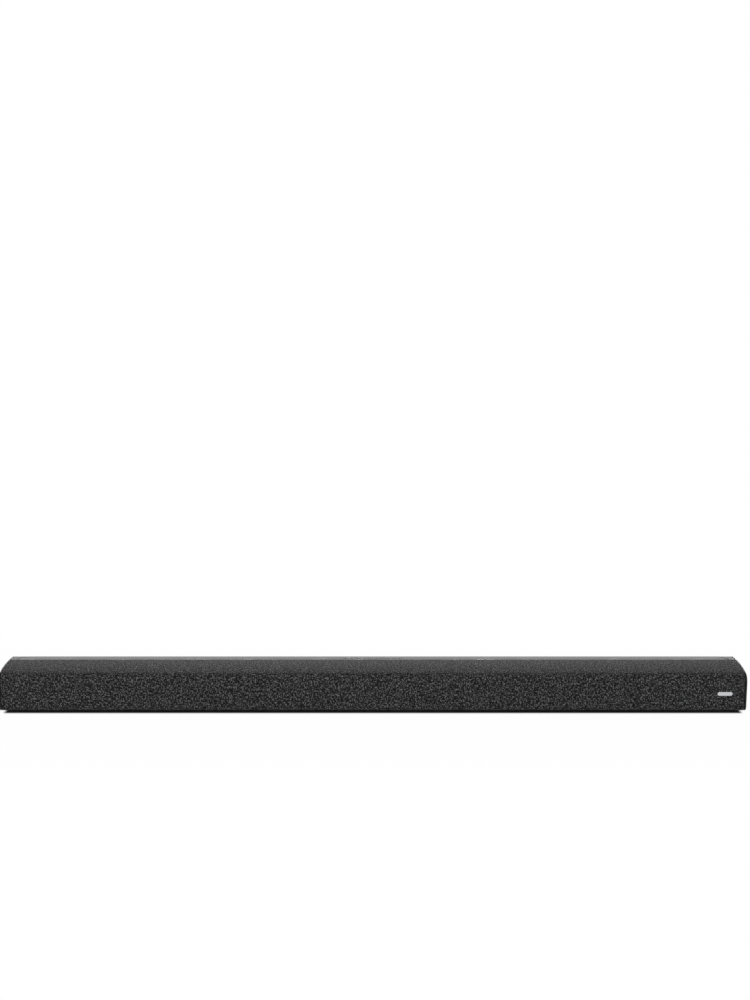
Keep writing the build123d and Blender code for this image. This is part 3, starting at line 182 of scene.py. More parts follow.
clothLook = {
    "pitch": 0.0006, "float": 2.0,  # yarn spacing, and the crossings that one float of yarn covers
    "fleck": (800.0, 420.0, 1.0), "fleckShare": 0.60,
    "weftRun": 0.0030, "warpRun": 0.0060, "runShare": 0.40, "weftSeed": 7.31, "warpSeed": 5.17,
    # Painted shade between the yarns: near black where a float dips, fading out by the gap edge height
    "endRound": 0.5, "paintedGapShade": 0.003, "paintedGapShadeEdge": 0.75,
    "fuzz": 5200.0, "fuzzRise": 0.5, "rough": 0.84, "fuzzRough": 0.14,
    "bump": 0.4, "relief": 0.0002, "specular": 0.12, "sheen": 0.03, "sheenRough": 0.5,
    "tones": [
        (0.38, (0.004, 0.004, 0.0042)),
        (0.46, (0.014, 0.014, 0.0144)),
        (0.53, (0.068, 0.068, 0.069)),
        (0.60, (0.410, 0.410, 0.414)),
    ],
}


# Height of a float: round across the yarn, dipping under its neighbours at both ends
def floatArch(across, along):
    s = clothLook
    return abs((across * pi).sine()) * abs((along * (pi / s["float"])).sine()) ** s["endRound"]


def heatherCloth():
    s = clothLook
    board = newFinish("heatherCloth")
    grain = board.node("ShaderNodeUVMap", {"uv_map": "grain"})
    along, down = board.split(grain)[:2]
    row = down / s["pitch"]
    column = along / s["pitch"]
    rowIndex = row.floor()
    columnIndex = column.floor()
    diagonal = ((rowIndex + columnIndex) / s["float"]).floor()  # twill: floats step along diagonals
    weftOver = diagonal % 2.0
    warpOver = 1.0 - weftOver
    cell = [scale * s["pitch"] for scale in s["fleck"]]
    weftPlace = board.join(diagonal * s["float"] - rowIndex, rowIndex, 0.0)
    warpPlace = board.join(columnIndex, diagonal * s["float"] - columnIndex, 0.0)
    weftFleck = board.noise(board.stretch(weftPlace, cell), 1.0, 1.0)
    warpFleck = board.noise(board.stretch(warpPlace, cell), 1.0, 1.0)
    weftLine = board.join(along / s["weftRun"], rowIndex * s["weftSeed"], 0.0)
    warpLine = board.join(columnIndex * s["warpSeed"], down / s["warpRun"], 1.0)
    weft = weftFleck * s["fleckShare"] + board.noise(weftLine, 1.0, 1.0) * s["runShare"]
    warp = warpFleck * s["fleckShare"] + board.noise(warpLine, 1.0, 1.0) * s["runShare"]
    dye = weft * weftOver + warp * warpOver
    dyed = board.node("ShaderNodeValToRGB", {"stops": s["tones"]}, {"Fac": dye})
    weftArch = floatArch(row, column + rowIndex)
    warpArch = floatArch(column, row + columnIndex)
    height = weftArch * weftOver + warpArch * warpOver
    fuzz = board.noise(grain, s["fuzz"])
    return board.finish({
        # Painted shade: the yarn colour darkens to near black where the floats dip between each other
        "Base Color": board.mix(board.ease(height, 0.0, s["paintedGapShadeEdge"]), grey(s["paintedGapShade"]), dyed),
        "Roughness": s["rough"] + fuzz * s["fuzzRough"],
        "Normal": board.bump(height + fuzz * s["fuzzRise"], s["bump"], s["relief"]),
        "Specular IOR Level": s["specular"],
        "Sheen Weight": s["sheen"],
        "Sheen Roughness": s["sheenRough"],
    })


glossLook = {
    "haze": 35.0, "hazeDetail": 4.0, "hazeBand": (0.35, 0.75), "hazeRough": 0.05,
    "wipe": (60.0, 900.0, 900.0), "wipeDetail": 3.0, "wipeBand": (0.55, 0.8), "wipeRough": 0.04,
    "ripple": 140.0, "rippleDetail": 1.0, "bump": 0.015, "relief": 0.0004,
    "dark": 0.8, "light": 1.25, "rough": 0.05, "ior": 1.21,
}


def glossBlack(name, tone):
    s = glossLook
    board = newFinish(name)
    place = board.place()
    haze = board.noise(place, s["haze"], s["hazeDetail"])
    wipe = board.noise(board.stretch(place, s["wipe"]), 1.0, s["wipeDetail"])
    ripple = board.noise(place, s["ripple"], s["rippleDetail"])
    hazed = board.ease(haze, *s["hazeBand"]) * s["hazeRough"]
    wiped = board.ease(wipe, *s["wipeBand"]) * s["wipeRough"]
    return board.finish({
        "Base Color": shade(board, haze, tone, s["dark"], s["light"]),
        "Roughness": s["rough"] + hazed + wiped,
        "Normal": board.bump(ripple, s["bump"], s["relief"]),
        "IOR": s["ior"],
    })


mouldedLook = {
    "grainDetail": 3.0, "grainMix": 0.6, "grainRough": 0.2, "cloud": 18.0, "cloudDetail": 3.0,
    "cloudRough": 0.08, "dark": 0.85, "light": 1.2, "bump": 0.35, "relief": 0.0002, "specular": 0.2,
}


def mouldedBlack(name, tone, rough, grainSize):
    s = mouldedLook
    board = newFinish(name)
    place = board.place()
    grain = board.noise(place, grainSize, s["grainDetail"], s["grainMix"])
    cloud = board.noise(place, s["cloud"], s["cloudDetail"])
    return board.finish({
        "Base Color": shade(board, cloud, tone, s["dark"], s["light"]),
        "Roughness": rough + (grain - 0.5) * s["grainRough"] + (cloud - 0.5) * s["cloudRough"],
        "Normal": board.bump(grain, s["bump"], s["relief"]),
        "Specular IOR Level": s["specular"],
    })


casingLook = {
    "rimLow": 0.0444, "rimHigh": 0.0449, "gloss": 0.08, "glossCloud": 0.03,  # polished above this height
    "matt": 0.56, "grain": 2600.0, "grainMix": 0.6, "grainRough": 0.22,
    "cloud": 14.0, "cloudDetail": 3.0, "cloudRough": 0.08,
    "dark": 0.013, "light": 0.019, "bump": 0.4, "relief": 0.00018, "ior": 1.18,
}


def casingBlack():
    s = casingLook
    board = newFinish("casingBlack")
    place = board.place()
    height = board.split(place)[2]
    polish = board.ease(height, s["rimLow"], s["rimHigh"])
    unpolished = 1.0 - polish
    grain = board.noise(place, s["grain"], 2.0, s["grainMix"])
    cloud = board.noise(place, s["cloud"], s["cloudDetail"])
    matt = s["matt"] + (grain - 0.5) * s["grainRough"] + (cloud - 0.5) * s["cloudRough"]
    gloss = s["gloss"] + cloud * s["glossCloud"]
    return board.finish({
        "Base Color": board.mix(cloud, grey(s["dark"]), grey(s["light"])),
        "Roughness": matt * unpolished + gloss * polish,
        "Normal": board.bump(grain * unpolished, s["bump"], s["relief"]),
        "IOR": s["ior"],
    })


rubberLook = {
    "bloom": 90.0, "bloomDetail": 4.0, "bloomRough": 0.16, "pores": 3200.0, "rough": 0.78,
    "dark": 0.7, "light": 1.5, "bump": 0.3, "relief": 0.00015, "specular": 0.3,
}


def rubberBlack(name, tone):
    s = rubberLook
    board = newFinish(name)
    place = board.place()
    bloom = board.noise(place, s["bloom"], s["bloomDetail"])
    pores = board.noise(place, s["pores"])
    return board.finish({
        "Base Color": shade(board, bloom, tone, s["dark"], s["light"]),
        "Roughness": s["rough"] + bloom * s["bloomRough"],
        "Normal": board.bump(pores, s["bump"], s["relief"]),
        "Specular IOR Level": s["specular"],
    })


metalLook = {
    "brushDetail": 3.0, "brushRough": 0.22, "cloud": 70.0, "cloudRough": 0.08,
    "dark": 0.82, "bump": 0.12, "relief": 0.00006,
}


def brushedMetal(name, tone, rough, lines):
    s = metalLook
    board = newFinish(name)
    place = board.place()
    brush = board.noise(board.stretch(place, lines), 1.0, s["brushDetail"])
    cloud = board.noise(place, s["cloud"])
    darkTone = [channel * s["dark"] for channel in tone]
    return board.finish({
        "Base Color": board.mix(brush, (*darkTone, 1), (*tone, 1)),
        "Roughness": rough + (brush - 0.5) * s["brushRough"] + (cloud - 0.5) * s["cloudRough"],
        "Metallic": 1.0,
        "Normal": board.bump(brush, s["bump"], s["relief"]),
    })


ferriteLook = {
    "pits": 900.0, "pitDetail": 4.0, "pitMix": 0.65, "pitRough": 0.3, "rough": 0.55,
    "dark": 0.03, "light": 0.075, "bump": 0.4, "relief": 0.0002,
}


def ferriteGrey():
    s = ferriteLook
    board = newFinish("ferriteGrey")
    pits = board.noise(board.place(), s["pits"], s["pitDetail"], s["pitMix"])
    return board.finish({
        "Base Color": board.mix(pits, grey(s["dark"]), grey(s["light"])),
        "Roughness": s["rough"] + pits * s["pitRough"],
        "Normal": board.bump(pits, s["bump"], s["relief"]),
    })


circuitLook = {
    "lanes": (60.0, 500.0, 60.0), "laneTurns": 40.0, "trackBand": (0.75, 0.85),
    "mask": (0.010, 0.075, 0.030, 1), "track": (0.022, 0.14, 0.055, 1),
    "speck": 1500.0, "speckRough": 0.14, "rough": 0.32, "bump": 0.3, "relief": 0.00008,
}


def circuitGreen():
    s = circuitLook
    board = newFinish("circuitGreen")
    place = board.place()
    lanes = board.noise(board.stretch(place, s["lanes"]), 1.0, 1.0)
    tracks = board.ease(abs((lanes * s["laneTurns"]).sine()), *s["trackBand"])
    speck = board.noise(place, s["speck"])
    return board.finish({
        "Base Color": board.mix(tracks, s["mask"], s["track"]),
        "Roughness": s["rough"] + speck * s["speckRough"],
        "Normal": board.bump(tracks, s["bump"], s["relief"]),
    })


paperLook = {
    "fibre": 700.0, "fibreDetail": 5.0, "fibreMix": 0.7, "fibreRough": 0.2, "rough": 0.75,
    "dark": 0.015, "light": 0.05, "bump": 0.5, "relief": 0.0003,
}


def pressedPaper():
    s = paperLook
    board = newFinish("pressedPaper")
    fibre = board.noise(board.place(), s["fibre"], s["fibreDetail"], s["fibreMix"])
    return board.finish({
        "Base Color": board.mix(fibre, grey(s["dark"]), grey(s["light"])),
        "Roughness": s["rough"] + fibre * s["fibreRough"],
        "Normal": board.bump(fibre, s["bump"], s["relief"]),
    })


copperLook = {
    # Painted shade: the groove colour darkens the copper between the wire's turns
    "wire": 0.0003, "groove": (0.22, 0.085, 0.03, 1), "crest": (0.72, 0.36, 0.16, 1),
    "rough": 0.42, "crestRough": 0.12, "bump": 0.6, "relief": 0.0001,
}


def woundCopper():
    s = copperLook
    board = newFinish("woundCopper")
    depth = board.split(board.place())[1]
    turns = abs((depth * (pi / s["wire"])).sine())
    return board.finish({
        # Painted shade between the turns, copper colour on their crests
        "Base Color": board.mix(turns, s["groove"], s["crest"]),
        "Roughness": s["rough"] - turns * s["crestRough"],
        "Metallic": 1.0,
        "Normal": board.bump(turns, s["bump"], s["relief"]),
    })


weaveLook = {
    # threadShare: share of the painted shade between threads in the weave's colour
    "threadShare": 0.7, "cloudShare": 0.3, "cloud": 200.0, "cloudDetail": 3.0,
    "rough": 0.86, "threadRough": 0.1, "bump": 0.5, "relief": 0.0001,
}


def stiffWeave(name, dark, light, pitch):
    s = weaveLook
    board = newFinish(name)
    place = board.place()
    x, z = board.split(place)[::2]
    threads = abs((x * (pi / pitch)).sine()) * abs((z * (pi / pitch)).sine())
    cloud = board.noise(place, s["cloud"], s["cloudDetail"])
    return board.finish({
        # Painted shade: darker between the threads and lighter on their crests, mixed with random cloud
        # tone
        "Base Color": board.mix(threads * s["threadShare"] + cloud * s["cloudShare"], dark, light),
        "Roughness": s["rough"] - threads * s["threadRough"],
        "Normal": board.bump(threads, s["bump"], s["relief"]),
    })


clearLook = {
    "cloud": 120.0, "dark": 0.85, "light": 0.95, "rough": 0.06, "cloudRough": 0.08,
    "transmission": 0.9, "ior": 1.49,
}


def clearMoulding():
    s = clearLook
    board = newFinish("clearMoulding")
    cloud = board.noise(board.place(), s["cloud"])
    return board.finish({
        "Base Color": board.mix(cloud, grey(s["dark"]), grey(s["light"])),
        "Roughness": s["rough"] + cloud * s["cloudRough"],
        "Transmission Weight": s["transmission"],
        "IOR": s["ior"],
    })


inkLook = {
    "grain": 2400.0, "grainDetail": 3.0, "grainRough": 0.2, "rough": 0.45, "dark": 0.50, "light": 0.62,
}


def printedWhite():
    s = inkLook
    board = newFinish("printedWhite")
    grain = board.noise(board.place(), s["grain"], s["grainDetail"])
    return board.finish({
        "Base Color": board.mix(grain, grey(s["dark"]), grey(s["light"])),
        "Roughness": s["rough"] + grain * s["grainRough"],
    })


spiderTones = {"dark": (0.20, 0.13, 0.05, 1), "light": (0.52, 0.38, 0.16, 1)}
metalTones = {
    "badge": (0.62, 0.63, 0.65), "can": (0.72, 0.72, 0.74), "plated": (0.62, 0.62, 0.61),
    "shell": (0.70, 0.69, 0.66), "blackened": (0.05, 0.05, 0.052),
}
# One finish for each material slot of the record
finishes = {
    "cloth": heatherCloth(),
    "strip": glossBlack("stripBlack", tone=0.010),
    "casing": casingBlack(),
    "cap": mouldedBlack("capBlack", tone=0.015, rough=0.5, grainSize=2400.0),
    "key": glossBlack("keyBlack", tone=0.011),
    "foot": rubberBlack("footRubber", tone=0.02),
    "badge": brushedMetal("badgeMetal", metalTones["badge"], rough=0.34, lines=(90.0, 5000.0, 5000.0)),
    "inner": mouldedBlack("innerBlack", tone=0.025, rough=0.6, grainSize=1800.0),
    "board": circuitGreen(),
    "chip": mouldedBlack("chipBlack", tone=0.02, rough=0.5, grainSize=3000.0),
    "can": brushedMetal("canMetal", metalTones["can"], rough=0.36, lines=(700.0, 700.0, 4000.0)),
    "steel": brushedMetal("platedSteel", metalTones["plated"], rough=0.4, lines=(400.0, 3000.0, 400.0)),
    "ferrite": ferriteGrey(),
    "cone": pressedPaper(),
    "copper": woundCopper(),
    "roll": rubberBlack("rollRubber", tone=0.018),
    "weave": stiffWeave("spiderCloth", **spiderTones, pitch=0.0006),
    "dome": stiffWeave("domeSilk", dark=grey(0.012), light=grey(0.04), pitch=0.0003),
    "clear": clearMoulding(),
    "socket": mouldedBlack("socketBlack", tone=0.014, rough=0.48, grainSize=2800.0),
    "shell": brushedMetal("shellSteel", metalTones["shell"], rough=0.3, lines=(2500.0, 400.0, 2500.0)),
    "wire": rubberBlack("wireSleeve", tone=0.022),
    "screw": brushedMetal("screwBlack", metalTones["blackened"], rough=0.42, lines=(900.0, 900.0, 900.0)),
}
inkWhite = printedWhite()

for row in frame["record"]["subparts"]:
    skin = nodes[row["node"]].data.materials
    skin.clear()
    skin.append(finishes[row["material_slot"]])
print("finishes:", len(finishes))


# Mesh helpers

def makePiece(name, shape, body, slotName, finish=None):
    mesh = bpy.data.meshes.new(name)
    shape.to_mesh(mesh)
    shape.free()
    piece = bpy.data.objects.new(name, mesh)
    bpy.context.scene.collection.objects.link(piece)
    mesh.materials.append(finish or finishes[slotName])
    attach(piece, body)
    return piece


# Draws the profile on from its last point, round a centre line along the bar
def turnPoint(shape, made, centre, angle, steps):
    spun = bmesh.ops.spin(
        shape, geom=[made["last"]], cent=centre, axis=(1, 0, 0), dvec=(0, 0, 0), angle=angle,
        steps=steps, use_merge=False, use_normal_flip=False, use_duplicate=False)
    made["last"] = [g for g in spun["geom_last"] if isinstance(g, bmesh.types.BMVert)][0]


# Draws the profile on from its last point, straight to the target
def runPoint(shape, made, target, steps):
    step = (Vector(target) - made["last"].co) / steps
    for _ in range(steps):
        grown = bmesh.ops.extrude_vert_indiv(shape, verts=[made["last"]])
        made["last"] = grown["verts"][0]
        bmesh.ops.translate(shape, vec=step, verts=[made["last"]])


# Stretched cloth over the front and the front part of the top

clothSizes = {
    "half": 0.447, "front": -0.0406, "skirt": 0.0038, "tuck": 0.0075, "lipRadius": 0.006,
    "edgeRadius": 0.011, "crownY": -0.0026, "top": 0.052, "frontRadius": 0.195,
    "rearRadius": 0.330, "rearEdge": 0.0148, "thickness": 0.0006,
    "tuckSteps": 2, "lipSteps": 8, "frontSteps": 8, "edgeSteps": 12, "topSteps": 8, "rearSteps": 6,
    "acrossSteps": 150, "edgeRoll": 0.0002, "rollSteps": 2, "rollAngle": 60,
}


def clothProfile(shape, s):
    x = -s["half"]
    lowY = s["front"] + s["lipRadius"]
    lipMiddle = (x, lowY, s["skirt"] + s["lipRadius"])
    made = {"last": shape.verts.new((x, s["front"] + s["tuck"], s["skirt"]))}
    runPoint(shape, made, (x, lowY, s["skirt"]), s["tuckSteps"])
    turnPoint(shape, made, lipMiddle, -pi / 2, s["lipSteps"])
    reach = s["frontRadius"] - s["edgeRadius"]
    inset = s["front"] + s["edgeRadius"] - s["crownY"]
    edgeZ = s["top"] - s["frontRadius"] + sqrt(reach ** 2 - inset ** 2)
    edgeMiddle = (x, s["front"] + s["edgeRadius"], edgeZ)
    runPoint(shape, made, (x, s["front"], edgeZ), s["frontSteps"])
    lean = asin(-inset / reach)
    turnPoint(shape, made, edgeMiddle, -(pi / 2 - lean), s["edgeSteps"])
    turnPoint(shape, made, (x, s["crownY"], s["top"] - s["frontRadius"]), -lean, s["topSteps"])
    fall = asin((s["rearEdge"] - s["crownY"]) / s["rearRadius"])
    turnPoint(shape, made, (x, s["crownY"], s["top"] - s["rearRadius"]), -fall, s["rearSteps"])
    return list(shape.edges)


# The walk layer holds each point's way along the profile, so that the weave follows the cloth
def clothShape(s):
    shape = bmesh.new()
    walk = shape.verts.layers.float.new("walk")
    profile = clothProfile(shape, s)
    travelled = 0.0
    for edge in profile:
        travelled += edge.calc_length()
        edge.verts[1][walk] = travelled
    swept = bmesh.ops.extrude_edge_only(shape, edges=profile)
    far = [g for g in swept["geom"] if isinstance(g, bmesh.types.BMVert)]
    bmesh.ops.translate(shape, vec=(2 * s["half"], 0, 0), verts=far)
    lengthways = [e for e in shape.edges if abs(e.verts[0].co.x - e.verts[1].co.x) > s["half"]]
    bmesh.ops.subdivide_edges(shape, edges=lengthways, cuts=s["acrossSteps"], use_grid_fill=True)
    bmesh.ops.recalc_face_normals(shape, faces=shape.faces)
    if max(shape.faces, key=lambda f: f.calc_center_median().z).normal.z < 0:
        bmesh.ops.reverse_faces(shape, faces=shape.faces)
    grain = shape.loops.layers.uv.new("grain")
    for face in shape.faces:
        face.smooth = True
        for loop in face.loops:
            loop[grain].uv = (loop.vert.co.x + s["half"], loop.vert[walk])
    return shape, travelled


def clothSheet():
    s = clothSizes
    shape, travelled = clothShape(s)
    sheet = makePiece("stretched_cloth", shape, "cabinet", "cloth")
    wall = sheet.modifiers.new("thickness", "SOLIDIFY")
    wall.thickness = s["thickness"]
    wall.offset = -1.0
    roll = sheet.modifiers.new("rolledEdge", "BEVEL")
    roll.width = s["edgeRoll"]
    roll.segments = s["rollSteps"]
    roll.limit_method = "ANGLE"
    roll.angle_limit = radians(s["rollAngle"])
    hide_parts("grille_cloth")
    print("cloth:", round(2 * s["half"], 4), "x", round(travelled, 4), "m flat")


clothSheet()


# Printed signs on the keys, drawn flat round the origin and then laid on the curved key tops

signSizes = {
    "y": 0.02615, "crownY": -0.0026, "centreZ": -0.278, "keyRadius": 0.33015, "pitch": 0.015,
    "lift": 0.00002, "print": 0.00005, "line": 0.00042, "barSteps": 4, "arcStep": 12, "arcLeast": 6,
    "weld": 0.000005,
    "power": {"radius": 0.0016, "start": 125, "sweep": 290, "stem": 0.0018, "stemY": 0.00115},
    "source": {
        "long": 0.0030, "longX": 0.0006, "longY": 0.0014, "side": 0.0032, "sideX": 0.0019,
        "shaft": 0.0026, "shaftX": -0.0008, "barb": 0.0012, "barbX": 0.0002, "barbY": 0.00035,
    },
    "pairing": {"x": -0.0012, "dot": 0.0003, "waves": (0.0013, 0.0022, 0.0031), "start": -48, "sweep": 96},
    "volume": {"long": 0.0030},
}


def keyTop(y):
    s = signSizes
    return s["centreZ"] + sqrt(s["keyRadius"] ** 2 - (y - s["crownY"]) ** 2)


def signBar(shape, long, at=(0.0, 0.0), turn=0.0):
    s = signSizes
    place = Matrix.Translation((*at, 0)) @ Matrix.Rotation(radians(turn), 4, "Z")
    size = Matrix.Diagonal((long / 2, s["line"] / 2, 1, 1))
    bmesh.ops.create_grid(shape, x_segments=s["barSteps"], y_segments=1, size=1.0, matrix=place @ size)


def signArc(shape, radius, start, sweep, x=0.0):
    s = signSizes
    line = s["line"] / 2
    first = radians(start)
    ends = [(x + r * cos(first), r * sin(first), 0) for r in (radius - line, radius + line)]
    inner, outer = [shape.verts.new(end) for end in ends]
    edge = shape.edges.new((inner, outer))
    bmesh.ops.spin(
        shape, geom=[inner, outer, edge], cent=(x, 0, 0), axis=(0, 0, 1), dvec=(0, 0, 0),
        angle=radians(sweep), steps=max(s["arcLeast"], int(sweep / s["arcStep"])),
        use_merge=sweep >= 360, use_normal_flip=False, use_duplicate=False)


def powerSign(shape):
    s = signSizes["power"]
    signArc(shape, s["radius"], s["start"], s["sweep"])
    signBar(shape, s["stem"], (0, s["stemY"]), 90)


def sourceSign(shape):
    s = signSizes["source"]
    for side in (1, -1):
        signBar(shape, s["long"], (s["longX"], side * s["longY"]))
    signBar(shape, s["side"], (s["sideX"], 0), 90)
    signBar(shape, s["shaft"], (s["shaftX"], 0))
    for side in (1, -1):
        signBar(shape, s["barb"], (s["barbX"], side * s["barbY"]), side * -45)


def pairingSign(shape):
    s = signSizes["pairing"]
    signArc(shape, s["dot"], 0, 360, s["x"])
    for radius in s["waves"]:
        signArc(shape, radius, s["start"], s["sweep"], s["x"])


def volumeDownSign(shape):
    signBar(shape, signSizes["volume"]["long"])


def volumeUpSign(shape):
    volumeDownSign(shape)
    signBar(shape, signSizes["volume"]["long"], turn=90)


def printSigns():
    s = signSizes
    signs = {
        "power": powerSign,
        "source": sourceSign,
        "pairing": pairingSign,
        "volume_down": volumeDownSign,
        "volume_up": volumeUpSign,
    }
    middle = len(signs) // 2
    for i, (name, draw) in enumerate(signs.items()):
        shape = bmesh.new()
        draw(shape)
        bmesh.ops.remove_doubles(shape, verts=shape.verts, dist=s["weld"])
        grown = bmesh.ops.extrude_face_region(shape, geom=list(shape.faces), use_keep_orig=True)
        raised = [g for g in grown["geom"] if isinstance(g, bmesh.types.BMVert)]
        bmesh.ops.translate(shape, vec=(0, 0, s["print"]), verts=raised)
        bmesh.ops.translate(shape, vec=((i - middle) * s["pitch"], s["y"], s["lift"]), verts=shape.verts)
        for vert in shape.verts:
            vert.co.z += keyTop(vert.co.y)
        bmesh.ops.recalc_face_normals(shape, faces=shape.faces)
        makePiece(name + "_sign", shape, name + "_key", "key", inkWhite)
    print("signs:", len(signs))


printSigns()


# Metal and contacts in the rear sockets

socketSizes = {
    "face": 0.0266, "weld": 0.000002,
    "jack": {
        "x": 0.075, "z": 0.0151, "inner": 0.00182, "outer": 0.0031, "proud": 0.0005,
        "sleeve": 0.004, "sleeveWall": 0.0001, "steps": 32,
    },
    "pins": {
        "x": -0.054, "z": 0.0196, "spread": 0.0043, "radius": 0.00125, "rear": 0.0148, "tip": 0.0238,
        "nose": ((1.0, 0.6), (0.8, 0.2), (0.4, 0.0)), "steps": 20,  # radius and set-back, in pin radii
    },
    "tongue": {"skin": 0.00003, "deep": 0.0089, "corner": 0.0002, "cornerSteps": 2},
    "contact": {"share": 0.27, "deep": 0.008, "back": 0.0006, "thick": 0.00006},
    "usb": {"x": 0.006, "z": 0.016025, "long": 0.0108, "thick": 0.0018, "count": 4, "pitch": 0.0023},
    "hdmi": {"x": 0.031, "z": 0.0146, "long": 0.0100, "thick": 0.0010, "count": 10, "pitch": 0.0009},
}


def boxShape(shape, low, high, corner=0.0):
    middle = [(a + b) / 2 for a, b in zip(low, high)]
    size = [b - a for a, b in zip(low, high)]
    matrix = Matrix.Translation(middle) @ Matrix.Diagonal((*size, 1))
    made = bmesh.ops.create_cube(shape, size=1.0, matrix=matrix)
    if corner:
        edges = list({e for v in made["verts"] for e in v.link_edges})
        bmesh.ops.bevel(
            shape, geom=edges, offset=corner, offset_type="OFFSET", affect="EDGES",
            segments=socketSizes["tongue"]["cornerSteps"], profile=0.5, material=-1, clamp_overlap=True)


# Turns a line of (radius, y) points round an axis along the bar's depth
def spunShape(shape, points, x, z, steps):
    verts = [shape.verts.new((x + radius, y, z)) for radius, y in points]
    edges = [shape.edges.new(pair) for pair in zip(verts, verts[1:])]
    bmesh.ops.spin(
        shape, geom=verts + edges, cent=(x, 0, z), axis=(0, 1, 0), dvec=(0, 0, 0), angle=2 * pi,
        steps=steps, use_merge=True, use_normal_flip=False, use_duplicate=False)
    bmesh.ops.remove_doubles(shape, verts=shape.verts, dist=socketSizes["weld"])
    bmesh.ops.recalc_face_normals(shape, faces=shape.faces)


def jackBush():
    s = socketSizes["jack"]
    face = socketSizes["face"]
    edge = s["proud"] / 3
    lip = face + s["proud"]
    deep = face - s["sleeve"]
    sleeve = s["inner"] + s["sleeveWall"]
    points = [
        (s["inner"], deep),
        (s["inner"], lip - edge),
        (s["inner"] + edge, lip),
        (s["outer"] - edge, lip),
        (s["outer"], lip - edge),
        (s["outer"], face),
        (sleeve, face),
        (sleeve, deep),
        (s["inner"], deep),
    ]
    shape = bmesh.new()
    spunShape(shape, points, s["x"], s["z"], s["steps"])
    makePiece("jack_bush", shape, "cabinet", "shell")


def inletPins():
    s = socketSizes["pins"]
    radius = s["radius"]
    nose = [(radius * wide, s["tip"] - radius * back) for wide, back in s["nose"]]
    points = [(0.0, s["rear"]), (radius, s["rear"]), *nose, (0.0, s["tip"])]
    shape = bmesh.new()
    for side in (-1, 1):
        spunShape(shape, points, s["x"] + side * s["spread"], s["z"], s["steps"])
    makePiece("inlet_pins", shape, "cabinet", "shell")


def tongueShape(s):
    t = socketSizes["tongue"]
    face = socketSizes["face"]
    half = s["long"] / 2 + t["skin"]
    thick = s["thick"] / 2 + t["skin"]
    low = (s["x"] - half, face - t["deep"], s["z"] - thick)
    high = (s["x"] + half, face + t["skin"], s["z"] + thick)
    shape = bmesh.new()
    boxShape(shape, low, high, t["corner"])
    return shape


def contactShape(s, rows):
    c = socketSizes["contact"]
    face = socketSizes["face"]
    thick = s["thick"] / 2 + socketSizes["tongue"]["skin"]
    first = s["x"] - (s["count"] - 1) / 2 * s["pitch"]
    blade = s["pitch"] * c["share"]
    shape = bmesh.new()
    for i in range(s["count"]):
        x = first + i * s["pitch"]
        for row in rows:
            z = s["z"] + row * thick
            low = (x - blade, face - c["deep"], z - c["thick"])
            high = (x + blade, face - c["back"], z + c["thick"])
            boxShape(shape, low, high)
    return shape


# Rows: -1 for contacts under the tongue, 1 for contacts on it
def dressSocket(name, rows):
    s = socketSizes[name]
    makePiece(name + "_tongue", tongueShape(s), "cabinet", "socket")
    makePiece(name + "_contacts", contactShape(s, rows), "cabinet", "copper")


jackBush()
inletPins()
dressSocket("usb", (-1,))
dressSocket("hdmi", (-1, 1))
print("sockets dressed")


# Floor, light and camera

floorSizes = {
    "half": 6.0, "footX": 0.443, "footY": 0.0369, "middleY": 0.0041,  # the bar's foot on the floor
    # Painted shadow: this tone is a dark grey floor colour under the bar and within the contact width
    # round its foot
    "contact": 0.006, "reach": 0.3, "shade": 0.02, "paintedShadowTone": 0.2, "grain": 9.0, "tones": (0.86, 0.9),
}


def floorFinish():
    s = floorSizes
    board = newFinish("paleFloor")
    place = board.place()
    x, y = board.split(place)[:2]
    aside = (abs(x) - s["footX"]).above(0.0)
    ahead = (abs(y - s["middleY"]) - s["footY"]).above(0.0)
    away = (aside ** 2.0 + ahead ** 2.0) ** 0.5
    contact = board.ease(away, 0.0, s["contact"])
    cast = board.ease(away, s["contact"], s["reach"], (1.0 - s["shade"], 1.0))
    dark, light = s["tones"]
    pale = board.mix(board.noise(place, s["grain"]), grey(dark), grey(light))
    # Painted shadow: the floor colour is dark grey under the bar and eases to the pale floor over the
    # contact width
    tone = board.mix(contact, grey(s["paintedShadowTone"]), pale)
    mattSockets = {"Base Color": tone, "Roughness": 1.0, "Specular IOR Level": 0.0}
    matt = board.node("ShaderNodeBsdfPrincipled", None, mattSockets)
    white = board.node("ShaderNodeEmission", None, {"Color": grey(1.0), "Strength": 1.0})
    plain = board.looked() * contact * cast
    surface = board.node("ShaderNodeMixShader", None, {0: plain, 1: matt, 2: white})
    board.node("ShaderNodeOutputMaterial", None, {"Surface": surface})
    return board.owner


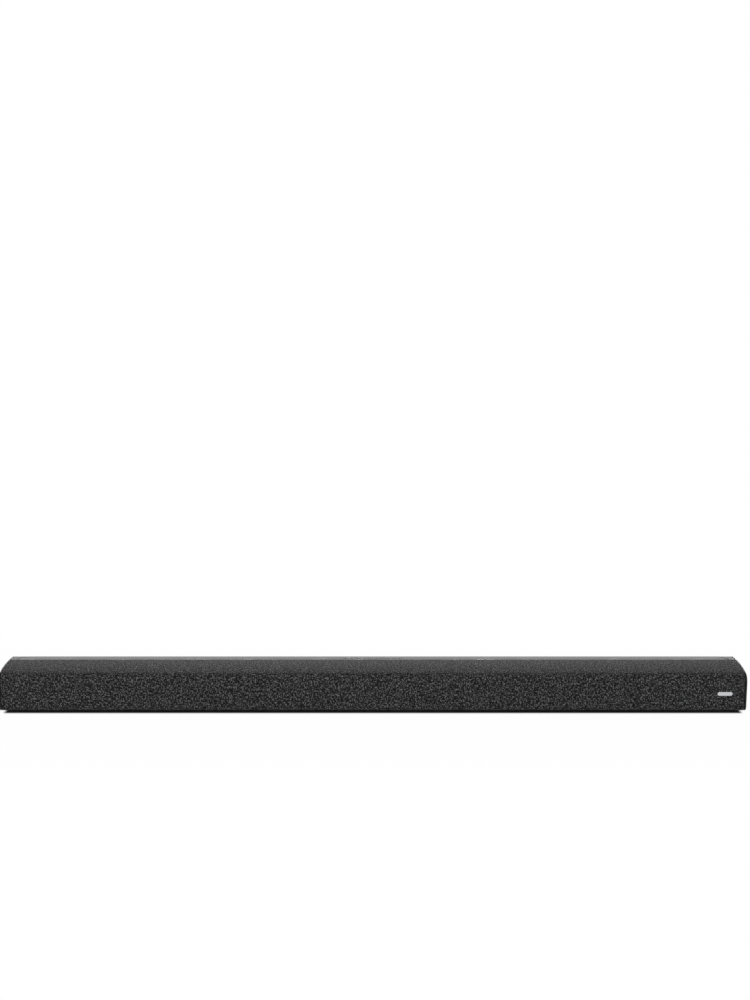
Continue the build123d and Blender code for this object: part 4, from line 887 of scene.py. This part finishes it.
def layFloor():
    shape = bmesh.new()
    bmesh.ops.create_grid(shape, x_segments=1, y_segments=1, size=floorSizes["half"])
    mesh = bpy.data.meshes.new("floor")
    shape.to_mesh(mesh)
    shape.free()
    floor = bpy.data.objects.new("floor", mesh)
    bpy.context.scene.collection.objects.link(floor)
    mesh.materials.append(floorFinish())


roomLight = {"fill": 0.22, "white": 1.0}


def paintWorld():
    s = roomLight
    board = Board(bpy.data.worlds.new("paleRoom"))
    levels = {"Value": board.looked(), "To Min": s["fill"], "To Max": s["white"]}
    level = board.node("ShaderNodeMapRange", None, levels)
    sky = board.node("ShaderNodeBackground", None, {"Color": grey(1.0), "Strength": level})
    board.node("ShaderNodeOutputWorld", None, {"Surface": sky})
    bpy.context.scene.world = board.owner


# Both lamps look at the origin
lampSizes = {
    "topLight": {"place": (0.0, 2.4, 0.66), "size": (2.6, 0.08), "power": 41.0},
    "frontLight": {"place": (-0.3, -2.0, 1.5), "size": (1.6, 1.0), "power": 20.0},
}


def hangLamps():
    for name, s in lampSizes.items():
        lamp = bpy.data.lights.new(name, "AREA")
        lamp.shape = "RECTANGLE"
        lamp.size, lamp.size_y = s["size"]
        lamp.energy = s["power"]
        softbox = bpy.data.objects.new(name, lamp)
        softbox.location = s["place"]
        softbox.rotation_euler = (-Vector(s["place"])).to_track_quat("-Z", "Y").to_euler()
        bpy.context.scene.collection.objects.link(softbox)


cameraSizes = {"place": (0.0027, -1.8426, 0.607), "pitch": 79.2, "lens": 56.27, "sensor": 36.0}


def setCamera():
    s = cameraSizes
    lens = bpy.data.cameras.new("camera")
    lens.sensor_fit = "VERTICAL"
    lens.sensor_height = s["sensor"]
    lens.lens = s["lens"]
    camera = bpy.data.objects.new("camera", lens)
    camera.location = s["place"]
    camera.rotation_euler = (radians(s["pitch"]), 0, 0)
    bpy.context.scene.collection.objects.link(camera)
    bpy.context.scene.camera = camera


layFloor()
paintWorld()
hangLamps()
setCamera()
bpy.context.scene.view_settings.view_transform = "Standard"
print("stage set")
